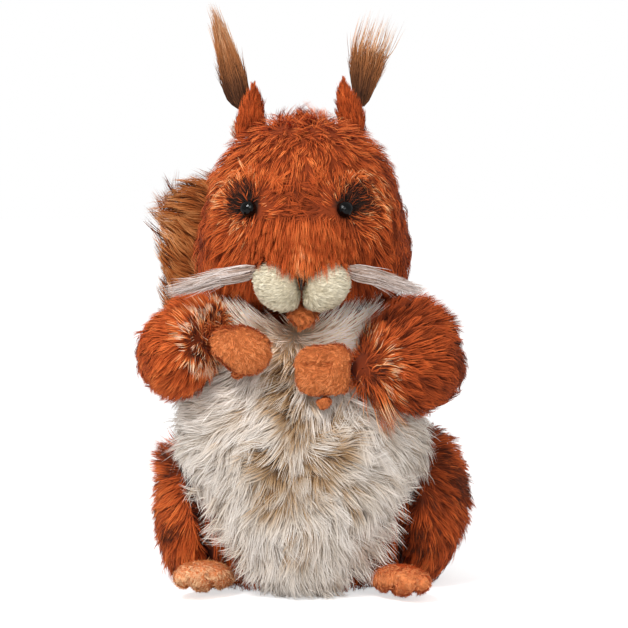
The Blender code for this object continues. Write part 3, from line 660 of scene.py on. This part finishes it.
def belly_lay(p, n):
    """Out over the chest, sideways and down at the flanks, and down in a fan below the middle, with eddies."""
    swirl, ruffle = waves(53, 0.024), waves(54, 0.010)
    x, z = p[:, 0], p[:, 2]
    down = vectors(x * 34, 0, -1.0 + 0.8 * smooth(0.020, 0.045, np.abs(x)) * smooth(0.075, 0.100, z))
    fan = vectors((x + 0.006) * 26, 0, -1)
    low = smooth(0.078, 0.066, z)[:, None]
    chest = smooth(0.108, 0.125, z)[:, None]
    outward = vectors(x * 90, -np.abs(x) * 8, -0.35 + 10 * np.abs(x))
    outward[:, 2] += 2.0 * smooth(0.128, 0.138, z) * smooth(0.004, 0.016, np.abs(x))
    way = unit(down * (1 - low) * (1 - chest) + unit(fan) * low + unit(outward) * chest)
    turn = 0.55 * swirl(p) + 0.35 * ruffle(p)
    for cx, cz, size, angle in EDDIES:
        turn = turn + angle * np.exp(-((x - cx) ** 2 + (z - cz) ** 2) / size**2)
    side = np.cross(n, way)
    return unit(way * np.cos(turn)[:, None] + side * np.sin(turn)[:, None])


def belly_reach(p):
    """Longest at the foot of the belly and at its flanks."""
    x, _, z = p.T
    edge = 0.0020 * smooth(0.045, 0.060, np.abs(x))
    return 0.0145 + 0.0025 * smooth(0.07, 0.03, z) + 0.001 * smooth(0.115, 0.13, z) + edge


def belly_paint(p, level, of_lock, own):
    """Cream pile with tan and brown at the roots of the whorl, down the breast and in a few darker swirls. The brown
    fades under the chin and the upper chest is painted lighter: partly the chest's paler colour, partly painted light
    against the shade under the head. The lightness is painted low at the roots as painted shade among the strands.
    """
    broad, fine = waves(61, 0.026), waves(62, 0.010)
    x, z = p[:, 0], p[:, 2]
    breast = np.exp(-(((x + 0.005 - 0.003 * np.sin(z * 160)) / 0.0065) ** 2)) * smooth(0.078, 0.09, z)
    # the breast stripe fades under the chin: partly paler colour, partly painted light against the shade under the
    # head
    breast = breast * (1 - 0.5 * smooth(0.120, 0.130, z))
    fan = 1 - smooth(0.4, 1.15, ellipse(p, (-0.004, 0.060), (0.020, 0.018)))
    fan = np.maximum(fan, 0.7 * (1 - smooth(0.5, 1.1, ellipse(p, (0.000, 0.034), (0.012, 0.010)))))
    spots = sum(np.exp(-((ellipse(p, (cx, cz), (rx, rz))) ** 2)) * k for cx, cz, rx, rz, k in (
        (0.0165, 0.0840, 0.007, 0.006, 1.0), (0.014, 0.073, 0.010, 0.004, 0.8), (-0.016, 0.0745, 0.009, 0.005, 0.8),
        (-0.007, 0.100, 0.008, 0.005, 0.7), (0.026, 0.060, 0.008, 0.010, 0.35)))
    brown = np.clip(1.35 * breast + 0.9 * fan + 1.5 * spots + 0.30 * broad(p) + 0.14 * of_lock, 0, 1.35)[:, None]
    mid = np.interp(level, (0, 0.3, 0.6, 1), (0.52, 0.68, 0.80, 0.87))
    bite = np.interp(level, (0, 0.25, 0.65, 1), (0.5, 0.8, 0.68, 0.24))
    tone = mid + (0.05 * fine(p) + 0.04 * own[:, 0])[:, None] - 0.52 * brown * bite
    # painted light: the upper chest is lit up against the shade under the head; the rest varies at random from lock to
    # lock
    shade = 0.60 * smooth(0.112, 0.126, z) + 0.05 * of_lock + 0.04 * own[:, 1]
    # painted shade at the roots, a little painted light at the tips
    return tone, 0.5 + shade[:, None] + np.interp(level, (0, 0.5, 1), (-0.12, 0, 0.05))


def belly_bend(p):
    """The ruff under the chin stands up."""
    return smooth(0.122, 0.136, p[:, 2])[:, None] * np.array([0, -0.0070, 0.0140])


def narrowed(p, n):
    """The bib is drawn in at its upper flanks."""
    x, _, z = p.T
    return p - vectors(np.sign(x) * 0.0055 * smooth(0.046, 0.064, np.abs(x)) * smooth(0.070, 0.088, z), 0, 0)


plush_piece("belly_panel", cream, 0.003, 0.004, LIMBS + ("torso", "head"),
            [grown(21500, 3, belly_lay, belly_reach, belly_paint, bend=belly_bend, rise=(36, 0), steps=4, lock=11,
                   width=0.00033, wander=0.18, clear=PAWS + pairs("muzzle") + ("chin",))],
            (0.55, 0.45), cap=0.001, probe=0.003, shape=narrowed)


# --- arms, haunches and tail

WRISTS = {"left": (0.0268, -0.070, 0.1150), "right": (-0.0425, -0.066, 0.1290)}  # where the pile parts on each cuff


def arm_depth(p):
    """The backing lies deeper at the elbow than at the shoulder."""
    return 0.0056 - 0.0042 * smooth(0.122, 0.138, p[:, 2]) * smooth(0.072, 0.052, np.abs(p[:, 0]))


def arm_marks(side):
    """Banded hair round the wrist: black in the middle of a strand and pale at its tip, in a ring and a few locks."""
    wrist = np.array(WRISTS[side])
    flecks = waves(70 + len(side), 0.006)

    def marks(p, level, of_lock, own, tone, light):
        off = p - wrist
        far = np.hypot(off[:, 0], off[:, 2])
        front = p[:, 1] < -0.030
        if side == "right":
            band = (0, 0.12, 0.34, 0.5, 1)
            ring = smooth(0.004, 0.008, far) * smooth(0.0140, 0.0110, far) * front
            chosen, share = ring * (own[:, 2] > -0.6), ring * (own[:, 3] > -1.0)
            tone = tone + 0.08 * (smooth(0.018, 0.010, far) * front)[:, None]
        else:
            band = (0, 0.2, 0.55, 0.85, 1)
            ring = smooth(0.019, 0.015, far) * smooth(0.004, 0.008, far) * front
            black = of_lock * 0.5 + flecks(p) > 0.35
            chosen = ring * black
            share = ring * 0.85 * (of_lock * 0.6 + flecks(p + 0.01) > -0.10) * ~black
            tone = tone + 0.13 * (smooth(0.024, 0.014, far) * front)[:, None]
        dark = np.interp(level, band, (0.2, 0.9, 1.0, 0.1, 0)) * chosen[:, None]
        pale = np.interp(level, (0, 0.4, 0.62, 1), (0, 0, 0.85, 1)) * share[:, None]
        tone = tone * (1 - 0.9 * dark) + 0.05 * dark
        return tone * (1 - pale) + 0.96 * pale, light - 0.1 * dark

    return marks


def arm_bend(p):
    """The pile lies close on the outer side of an arm. On the left one it stands up on the shoulder, and hangs in a
    fringe under the cuff."""
    x, y, z = p.T
    close = smooth(0.062, 0.078, np.abs(x)) * np.sign(x)
    shoulder = smooth(0.048, 0.056, x) * smooth(0.130, 0.138, z)
    under = smooth(0.050, 0.060, x) * smooth(0.106, 0.098, z)
    fringe = smooth(0.114, 0.102, z) * smooth(0.046, 0.035, x) * (x > 0) * (y < -0.03)
    return vectors(-0.0038 * close + 0.002 * shoulder, -0.002 * fringe,
                   0.0035 * shoulder + 0.0030 * under - 0.010 * fringe)


def cuff(p, n):
    """The left arm drawn out to its paw."""
    x, y, z = p.T
    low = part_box("arm_left")[0][0]
    near = smooth(low + 0.020, low + 0.001, x) * smooth(-0.030, -0.045, y) * smooth(0.142, 0.130, z)
    return p - near[:, None] * np.array([0.0120, 0, 0])


def arm_reach(side):
    wrist = np.array(WRISTS[side])

    def reach(p):
        near = 1 - smooth(0.010, 0.022, np.linalg.norm(p - wrist, axis=1))
        hang = smooth(0.114, 0.102, p[:, 2]) * smooth(0.048, 0.037, np.abs(p[:, 0])) * (p[:, 1] < -0.03)
        return 0.0088 + 0.0030 * near + 0.0070 * hang * (side == "left")

    return reach


def limb(seed, count, lay, reach, paint, bend):
    return grown(count, seed, lay, reach, paint, lock=9, width=0.00036, bend=bend,
                 clear=PAWS + pairs("thumb"))


# The left arm's pile is set deeper than the right one's (0.43 against 0.48): painted shade on the side away from the
# key lamp.
for k, side in enumerate(("left", "right")):
    others = ("torso", "belly_panel", "head", "paw_" + side, "whisker_" + side, "tail", "haunch_" + side)
    plush_piece("arm_" + side, rust, arm_depth, 0.004, others,
                [limb(4 + k, 12800, away(WRISTS[side], droop=0.35, seed=35 + k, crown=0.009, front=0.25),
                      arm_reach(side), rust_paint(80 + 2 * k, (0.43, 0.48)[k], arm_marks(side)), arm_bend)],
                (0.30, 0.32), shape=cuff if side == "left" else None)


FLECKS = ((0.066, 0.066), (0.072, 0.058), (0.0765, 0.050), (0.0585, 0.035), (0.060, 0.026), (-0.064, 0.032),
          (-0.0605, 0.063), (-0.072, 0.022))  # x and z


def haunch_marks(seed):
    """A few black flecks in the rust."""
    noise = waves(seed, 0.011)

    def marks(p, level, of_lock, own, tone, light):
        spots = sum(np.exp(-((p[:, 0] - x) ** 2 + (p[:, 2] - z) ** 2) / 0.0042**2) for x, z in FLECKS)
        fleck = np.maximum(smooth(0.35, 0.7, noise(p) + 0.25 * of_lock), smooth(0.25, 0.5, spots))
        along = np.interp(level, (0, 0.25, 0.5, 0.8, 1), (0, 0.2, 1, 0.9, 0.2))
        dark = (fleck * (own[:, 3] > -0.6))[:, None] * along
        return tone * (1 - 0.85 * dark) + 0.05 * dark, light - 0.1 * dark

    return marks


def haunch_reach(p):
    """Longer at the top of the right haunch, where it stands out."""
    return 0.0095 + 0.0045 * smooth(0.055, 0.070, p[:, 2]) * (p[:, 0] < -0.05)


def haunch_bend(p):
    """Out at the top of the right haunch, in at the foot of the left one."""
    x, _, z = p.T
    top = smooth(0.050, 0.064, z) * smooth(-0.048, -0.058, x)
    foot = smooth(0.034, 0.020, z) * smooth(0.052, 0.064, x)
    return vectors(-0.0040 * top - 0.0050 * foot, 0, 0.0045 * top)


HIPS = {"left": (0.044, -0.055, 0.086), "right": (-0.044, -0.055, 0.080)}
for k, side in enumerate(("left", "right")):
    others = ("torso", "belly_panel", "foot_" + side, "tail", "arm_" + side)
    plush_piece("haunch_" + side, rust, 0.0024, 0.004, others,
                [limb(6 + k, 11000, away(HIPS[side], droop=0.55, seed=37 + k), haunch_reach,
                      rust_paint(90 + 2 * k, 0.49, haunch_marks(95 + k)), haunch_bend)], (0.30, 0.32))


def tail_lay(p, n):
    """Up the plume and out to its edges."""
    noise = waves(101, 0.03)
    out = p - np.array([-0.030, 0.080, 0])
    out[:, 2] = 0
    way = unit(out) * 1.1 + np.array([-0.25, 0, 0.6])
    return unit(way + np.cross(n, way) * (0.35 * noise(p))[:, None])


def tail_paint(p, level, of_lock, own):
    """Brown, with pale tips at the outer edge of the plume."""
    broad, fine = waves(111, 0.03), waves(112, 0.010)
    rim = smooth(-0.050, -0.068, p[:, 0]) * (own[:, 2] > -0.2)
    tone = 0.52 + (0.05 * broad(p) + 0.04 * fine(p) + 0.05 * of_lock + 0.03 * own[:, 0])[:, None]
    tone = tone + np.interp(level, (0, 0.4, 1), (-0.2, 0, 0.12))
    tone = tone + 0.3 * rim[:, None] * smooth(0.4, 1, level)
    # painted shade at the roots, a little painted light at the tips
    light = 0.5 + (0.06 * of_lock + 0.07 * own[:, 1])[:, None] + np.interp(level, (0, 0.5, 1), (-0.2, 0, 0.06))
    return tone, light


def tail_reach(p):
    """Wispy at the outer edge of the plume."""
    return even(0.0130, 0.2, 12)(p) + 0.0060 * smooth(-0.055, -0.065, p[:, 0]) * smooth(0.150, 0.170, p[:, 2])


plush_piece("tail", tail_hair, 0.003, 0.0045, pairs("haunch") + ("torso", "head", "arm_right"),
            [grown(17500, 8, tail_lay, tail_reach, tail_paint, rise=(40, 8), lock=12, pull=0.6, width=0.00036)],
            (0.3, 0.3), probe=0.003)


# --- the short plush of muzzle, paws, feet and chin

def short_paint(base, seed, mottle=0.07):
    broad, fine = waves(seed, 0.006), waves(seed + 50, 0.0028)

    def paint(p, level, of_lock, own):
        tone = base + (mottle * broad(p) + mottle * fine(p) + 0.05 * of_lock + 0.04 * own[:, 0])[:, None]
        tone = tone + np.interp(level, (0, 1), (-0.14, 0.08))
        # painted shade at the roots, a little painted light at the tips
        light = 0.5 + (0.06 * own[:, 1] + 0.04 * of_lock)[:, None] + np.interp(level, (0, 1), (-0.12, 0.04))
        return tone, light

    return paint


EAR_TIPS = {"left": (0.0225, 0.006, 0.264), "right": (-0.0262, 0.006, 0.260)}


def nap(count, seed, lay, length, paint, **more):
    """A layer of short, dense pile."""
    settings = dict(rise=(62, 26), steps=2, lock=6, pull=0.45, width=0.00040, wander=0.5, spread=0.3) | more
    return grown(count, seed, lay, length if callable(length) else even(length, 0.2, seed), paint, **settings)


def creased(lines, depth, width):
    """Stitched dents: the cloth is pulled in along lines from point to point, seen from the front."""
    def shape(p, n):
        pull = np.zeros(len(p))
        for start, end in lines:
            a, run = np.array(start), np.array(end) - np.array(start)
            off = p[:, (0, 2)] - a
            share = np.clip(off @ run / (run @ run), 0, 1)
            far = np.linalg.norm(off - share[:, None] * run, axis=1)
            pull = np.maximum(pull, np.exp(-((far / width) ** 2)) * (n[:, 1] < 0.3))
        return p - n * (depth * pull)[:, None]

    return shape


def mitt(side):
    """The right mitt hangs to a rounded point; the left is squarer, with two short dents across its knuckles."""
    low, high = box("paw_" + side)
    middle, half = (low + high) / 2, (high - low) / 2

    def shape(p, n):
        u, w = ((p - middle) / half).T[[0, 2]]
        if side == "right":
            rise = 0.0150 * np.clip(-w, 0, 1) * np.clip(-u, 0, 1) - 0.0060 * np.clip(w, 0, 1) * np.clip(u, 0, 1)
            shift = 0.0030 * np.clip(-u, 0, 1) - 0.0030 * np.clip(-w, 0, 1) * np.clip(u, 0, 1)
            return p + vectors(shift, 0, rise)
        knuckles = ((0.0012, 0.1176), (0.0138, 0.1190)), ((0.0075, 0.1164), (0.0138, 0.1186))
        return creased(knuckles, 0.0032, 0.0013)(p - vectors(0.0052 * np.clip(u, 0, 1), 0, 0), n)

    return shape


def tucked(name, share, moved):
    """A thumb drawn up under its paw."""
    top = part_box(name)[1][2]
    return lambda p, n: vectors(p[:, 0], p[:, 1], top - (top - p[:, 2]) * share) + np.array(moved)


def leaf(side, outer=0.0):
    """An ear drawn in to a point, less on its inner side. The right one is wider at its foot."""
    low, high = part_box("ear_" + side)
    tip, out = EAR_TIPS[side], 1 if side == "left" else -1

    def shape(p, n):
        x, y, z = p.T
        t = (z - low[2]) / (high[2] - low[2])
        inner = (x - tip[0]) * -out > 0
        draw = 0.85 * np.where(inner, smooth(0.6, 1.08, t), smooth(0.35, 1.05, t))
        foot = 1 + 0.16 * (side == "right") * smooth(0.6, 0.1, t)
        x = tip[0] + (x - tip[0]) * (1 - draw) * foot - 0.0020 * out - outer * smooth(0.5, 0.3, t)
        return vectors(x, y, z - 0.0035 * np.clip(t, 0, 1))

    return shape


def toes(side):
    """Two stitched dents that part the toes."""
    low, high = box("foot_" + side)
    s = 1 if side == "left" else -1
    front = (low[0] + high[0]) / 2 + s * 0.001
    dents = creased((((front - s * 0.006, 0.0005), (front - s * 0.004, 0.0100)),
                     ((front + s * 0.005, 0.0005), (front + s * 0.008, 0.0095))), 0.0026, 0.0016)
    lift = 0.0014 if side == "left" else 0.0034
    return lambda p, n: dents(p, n) + vectors(0, 0, lift * smooth(-0.02, -0.055, p[:, 1]))


def lining_paint(p, level, of_lock, own):
    return 0.8 + 0.08 * own[:, :1] + 0 * level, 0.5 + 0.05 * own[:, 1:2] + 0 * level


for k, side in enumerate(("left", "right")):
    s = 1 if side == "left" else -1
    plush_piece("muzzle_" + side, pad_cream, 0.0010, 0.0022, ("head", "chin", "nose_stitch"),
                [nap(8300, 120 + k, away((0, -0.068, 0.157), seed=121 + k, grain=0.010, swirl=0.25), 0.0026,
                     short_paint(0.67, 123 + k), clear=("nose_stitch",), gap=0.0012, rise=(44, 10), wander=0.2,
                     spread=0.15, width=0.00034)],
                (0.55, 0.45), cap=0.0006, probe=0.001, shape=lambda p, n: p * np.array([0.94, 1, 1]))
    plush_piece("paw_" + side, short_orange, 0.0012, 0.0013,
                ("arm_" + side, "belly_panel", "thumb_" + side),
                [nap(7300, 130 + k, away((s * 0.03, -0.055, 0.13), seed=131 + k, grain=0.005, swirl=0.6), 0.0026,
                     short_paint(0.45, 133 + k, 0.08), rise=(50, 10), width=0.00032, pull=0.35)],
                (0.26, 0.42), cap=0.0006, probe=0.001, shape=mitt(side))
    plush_piece("thumb_" + side, short_orange, 0.0003, 0.0012, ("paw_" + side,),
                [nap(600, 140 + k, away((s * 0.02, -0.06, 0.12)), 0.0016, short_paint(0.40, 141 + k))],
                (0.32, 0.4), cap=0, probe=0.0006,
                shape=tucked("thumb_" + side, (1.0, 0.55)[k], ((-0.0025, 0, 0), (0, 0.003, 0.0025))[k]))
    plush_piece("foot_" + side, short_orange, 0.0010, 0.0016, ("haunch_" + side, "belly_panel"),
                [nap(7000, 150 + k, away((s * 0.045, 0.0, 0.02), seed=151 + k, grain=0.006, swirl=0.35), 0.0030,
                     short_paint((0.62, 1.15)[k], 153 + k, 0.09), rise=(40, 8), width=0.00032, pull=0.15, lock=5)],
                (0.55, 0.48), cap=0.0006, probe=0.001, shape=toes(side))
    plush_piece("ear_" + side, rust, 0.0, 0.0013, ("head", "ear_lining_" + side, "ear_tuft_" + side),
                [nap(3300, 160 + k, toward(EAR_TIPS[side]), lambda p: 0.0062 - 0.0040 * smooth(0.240, 0.256, p[:, 2]),
                     rust_paint(161 + k, (0.46, 0.40)[k]), rise=(26, 2), steps=3, width=0.00030, wander=0.12,
                     spread=0.12)],
                (0.36, 0.36), cap=0, probe=0.0006, shape=leaf(side))
    plush_piece("ear_lining_" + side, cream, 0.0, 0.0010, ("head", "ear_" + side, "ear_tuft_" + side),
                [nap(1200, 170 + k, away((s * 0.028, 0.006, 0.20)), 0.0032, lining_paint, rise=(38, 14),
                     width=0.00034)],
                (0.6, 0.4), cap=0, probe=0.0004, shape=leaf(side, (0.0, 0.0060)[k]))
plush_piece("chin", short_orange, 0.0003, 0.0015, pairs("muzzle") + ("head", "belly_panel"),
            [nap(1300, 180, away((0, -0.06, 0.16)), 0.0050, short_paint(0.38, 181), rise=(40, 4), pull=0.7, lock=14)],
            (0.3, 0.35), cap=0, probe=0.0008)


# --- locks: ear tufts and whiskers

def lock_line(name, axis, cuts):
    """The middle of a long node, cut across at even steps along an axis."""
    co = places(nodes[name].data)
    low, high = co[:, axis].min(), co[:, axis].max()
    middles = []
    for step in range(cuts):
        at = low + (high - low) * (step + 0.5) / cuts
        near = co[np.abs(co[:, axis] - at) < (high - low) / cuts * 1.2]
        middles.append((near.min(0) + near.max(0)) / 2)
    return np.array(middles)


def lock_piece(name, axis, flip, finish, count, seed, fan, paint, depth, over=0.006, sag=0.0, backing=0.2,
               rooting=0.45, ends=(0.42, 1.0), drift=(0.0, 0.0)):
    """A lock of long hair: strands that leave its foot together, run along its node and fray at its end.

    fan gives its half width at shares of its length, and depth its half depth. over is how far the last strands pass
    the node, sag how far tips drop, rooting the span that bears roots, and ends where strands stop: the first share,
    and the power that crowds them towards it. drift moves the foot and the end sideways."""
    rng = np.random.default_rng(seed)
    cuts, steps, width = 9, 6, 0.00028
    order = -1 if flip else 1
    middles = lock_line(name, axis, cuts)[::order]
    own = rng.normal(size=(count, 4))
    start, stop = rng.uniform(-0.12, rooting, count), ends[0] + (1 - ends[0]) * rng.random(count) ** ends[1]
    u = rng.uniform(-1, 1, count)
    v = rng.uniform(-1, 1, count)
    along = np.linspace(0, 1, steps + 1)
    s = start[:, None] + (stop - start)[:, None] * along
    ahead = unit((middles[-1] - middles[-2])[None])[0]

    def at(share):
        return np.stack([np.interp(share, np.linspace(0, 1, cuts), middles[:, i]) for i in range(3)], -1)

    past = (np.clip(s - 0.85, 0, 1) / 0.15)[..., None] ** 2
    centre = at(s) + ahead * past * over * (0.5 + 0.5 * rng.random((count, 1, 1)))
    centre = centre + (middles[1] - middles[0]) * 8 * np.minimum(s, 0)[..., None]
    run = unit(np.diff(centre, axis=1, append=centre[:, -1:] * 2 - centre[:, -2:-1]))
    across = unit(np.cross(run, np.array([0.0, 1, 0])))
    back = np.cross(across, run)
    wide = np.interp(s, *fan)
    bend = 0.0016 * own[:, 1:2] * along ** 2
    lift = v[:, None] * depth * wide / wide.max() + 0.0006 * own[:, 2:3] * along ** 2
    path = centre + across * ((u[:, None] * wide) + bend)[..., None] + back * lift[..., None]
    path[:, :, 2] -= sag * along ** 2 * rng.random((count, 1))
    path[:, :, 0] += drift[0] + (drift[1] - drift[0]) * s
    out = unit(back * 0.6 - np.array([0, 1.0, 0]))
    twist = np.repeat(rng.uniform(-0.8, 0.8, count), steps + 1)
    side = unit(np.cross(run, turned(out.reshape(-1, 3), run.reshape(-1, 3), twist).reshape(out.shape)))
    taper = np.interp(along, (0, 0.5, 0.85, 1), (0.9, 1, 0.6, 0))[:, None]
    blade = unit(np.cross(side, run))
    blade *= np.sign(-blade[..., 1:2] + 1e-9)
    shown = unit(blade * 0.5 + across * u[:, None, None] * 0.6 + np.array([0, -0.5, 0.1]))
    strands = blades(path, side * taper * width / 2, shown, *paint(s, along, u, own))
    body = skin_of(name, 0.0002, 0.0008, 1)
    skin = surface(body, ())
    bpy.data.objects.remove(body)
    share = np.interp(skin["points"][:, axis], middles[::order, axis], np.linspace(0, 1, cuts)[::order])
    offset = skin["points"] - at(share)
    skin["points"] = at(0.05 + share * 0.5) + offset * (0.3 * (1 - 0.6 * share))[:, None]
    furred(name, skin, [strands], deep(backing, 0.4), finish)


def tuft_paint(s, along, u, own):
    tone = 0.21 + 0.60 * smooth(0.05, 0.8, s) + (0.11 * own[:, 0] - 0.05 * u)[:, None]
    return tone, 0.5 + 0.15 * own[:, 3:4] + 0 * s


def whisker_paint(s, along, u, own):
    return 0.50 + 0.28 * s + 0.20 * own[:, :1], 0.46 + 0.10 * own[:, 3:4] - 0.08 * (u[:, None] > 0) + 0 * s


TUFT_FANS = {"left": ((-0.12, 0, 0.2, 0.5, 0.75, 1), (0.0006, 0.0036, 0.0054, 0.0084, 0.0096, 0.0100)),
             "right": ((-0.12, 0, 0.12, 0.25, 0.45, 0.65, 0.85, 1),
                       (0.0006, 0.0040, 0.0060, 0.0064, 0.0054, 0.0032, 0.0014, 0.0005))}
WHISKER_FAN = ((-0.12, 0, 0.12, 0.35, 0.6, 0.85, 1), (0.0024, 0.0038, 0.0042, 0.0034, 0.0024, 0.0013, 0.0005))
for k, side in enumerate(("left", "right")):
    lock_piece("ear_tuft_" + side, 2, False, tuft_hair, 1250, 190 + k, TUFT_FANS[side], tuft_paint, 0.0034,
               ends=((0.46, 4.0), (0.42, 1.7))[k], drift=((0.0014, 0.0004), (0.0006, -0.0017))[k])
    lock_piece("whisker_" + side, 0, side == "right", whisker_hair, 700, 200 + k, WHISKER_FAN,
               whisker_paint, 0.0022, over=0.004, sag=0.0016, backing=0.45, rooting=0.22)


# --- hard parts and thread

def glossy(name, colour, roughness, shine):
    """Moulded plastic, faintly uneven in its gloss."""
    made, tree, shader = material(name, roughness)
    shader.inputs["Specular IOR Level"].default_value = shine
    where, grain, ramp = add(tree, "TexCoord"), add(tree, "TexNoise", Scale=900), add(tree, "ValToRGB")
    ramp.color_ramp.elements[0].color = colour
    ramp.color_ramp.elements[1].color = tuple(c * 1.6 for c in colour[:3]) + (1,)
    rough = add(tree, "MapRange", To_Min=roughness * 0.8, To_Max=roughness * 1.4)
    join(tree, (where, "Object", grain, "Vector"), (grain, "Fac", ramp, "Fac"), (ramp, "Color", shader, "Base Color"),
         (grain, "Fac", rough, "Value"), (rough, "Result", shader, "Roughness"))
    return made


def thread(name, dark, pale):
    """Embroidery floss: fine slanting plies."""
    made, tree, shader = material(name, 0.6)
    where, ply = add(tree, "TexCoord"), add(tree, "TexWave", Scale=420, Distortion=1.5)
    ramp, bump = add(tree, "ValToRGB"), add(tree, "Bump", Distance=0.0002)
    ply.bands_direction = "DIAGONAL"
    ramp.color_ramp.elements[0].color, ramp.color_ramp.elements[1].color = dark, pale
    join(tree, (where, "Object", ply, "Vector"), (ply, "Fac", ramp, "Fac"), (ramp, "Color", shader, "Base Color"),
         (ply, "Fac", bump, "Height"), (bump, "Normal", shader, "Normal"))
    return made


eye_black = glossy("eye_plastic", linear(3, 3, 3), 0.09, 0.22)
washer = glossy("washer_plastic", linear(196, 196, 190), 0.4, 0.5)
floss = thread("nose_floss", linear(18, 13, 11), linear(50, 37, 30))
for name, finish in (("eye_left", eye_black), ("eye_right", eye_black), ("eye_washer_left", washer),
                     ("eye_washer_right", washer), ("nose_stitch", floss)):
    nodes[name].data.materials.clear()
    nodes[name].data.materials.append(finish)


# --- camera, light and ground

def by_ray(tree, others, seen, out):
    """A shader for what the camera sees, and another for all other rays."""
    rays, pick = add(tree, "LightPath"), add(tree, "MixShader")
    join(tree, (rays, "Is Camera Ray", pick, "Fac"), (*others, pick, 1), (*seen, pick, 2),
         (pick, "Shader", tree.nodes[out], "Surface"))


def aim(obj, target):
    obj.rotation_euler = (Vector(target) - obj.location).to_track_quat("-Z", "Y").to_euler()


lens = bpy.data.cameras.new("camera")
camera = new_object("camera", lens)
LOOK_AT, DISTANCE, PITCH = Vector((0.006, 0, 0.1365)), 1.8, math.radians(5)
FIELD = 0.314  # how much the picture shows from side to side at LOOK_AT
camera.location = LOOK_AT + Vector((0, -math.cos(PITCH), math.sin(PITCH))) * DISTANCE
lens.sensor_width = 36
lens.lens = lens.sensor_width * DISTANCE / FIELD
aim(camera, LOOK_AT)
bpy.context.scene.camera = camera

bpy.context.scene.view_settings.view_transform = "Standard"
world = bpy.data.worlds.new("studio")
bpy.context.scene.world = world
world.use_nodes = True
sky, white = world.node_tree, (1, 1, 1, 1)
back, soft = sky.nodes["Background"], add(sky, "Background", Strength=0.52, Color=white)
back.inputs["Strength"].default_value = 1.0
back.inputs["Color"].default_value = white
by_ray(sky, (soft, "Background"), (back, "Background"), "World Output")


def lamp(name, place, size, power):
    data = bpy.data.lights.new(name, "AREA")
    data.size = size
    data.energy = power
    obj = new_object(name, data)
    obj.location = place
    aim(obj, (0, 0, 0.13))


lamp("key", (-0.42, -0.84, 1.02), 0.34, 10.8)
lamp("fill", (0.25, -1.15, 0.62), 0.50, 3.4)

floor = new_object("floor", bpy.data.meshes.new("floor"))
floor.data.from_pydata([(-3, -3, 0), (3, -3, 0), (3, 3, 0), (-3, 3, 0)], [], [(0, 1, 2, 3)])
ground, tree, shader = material("ground", 0.9)
shader.inputs["Base Color"].default_value = (0.85, 0.85, 0.85, 1)
shader.inputs["Specular IOR Level"].default_value = 0.0
glow, both = add(tree, "Emission", Strength=0.62), add(tree, "AddShader")
join(tree, (shader, "BSDF", both, 0), (glow, "Emission", both, 1))
by_ray(tree, (shader, "BSDF"), (both, "Shader"), "Material Output")
floor.data.materials.append(ground)
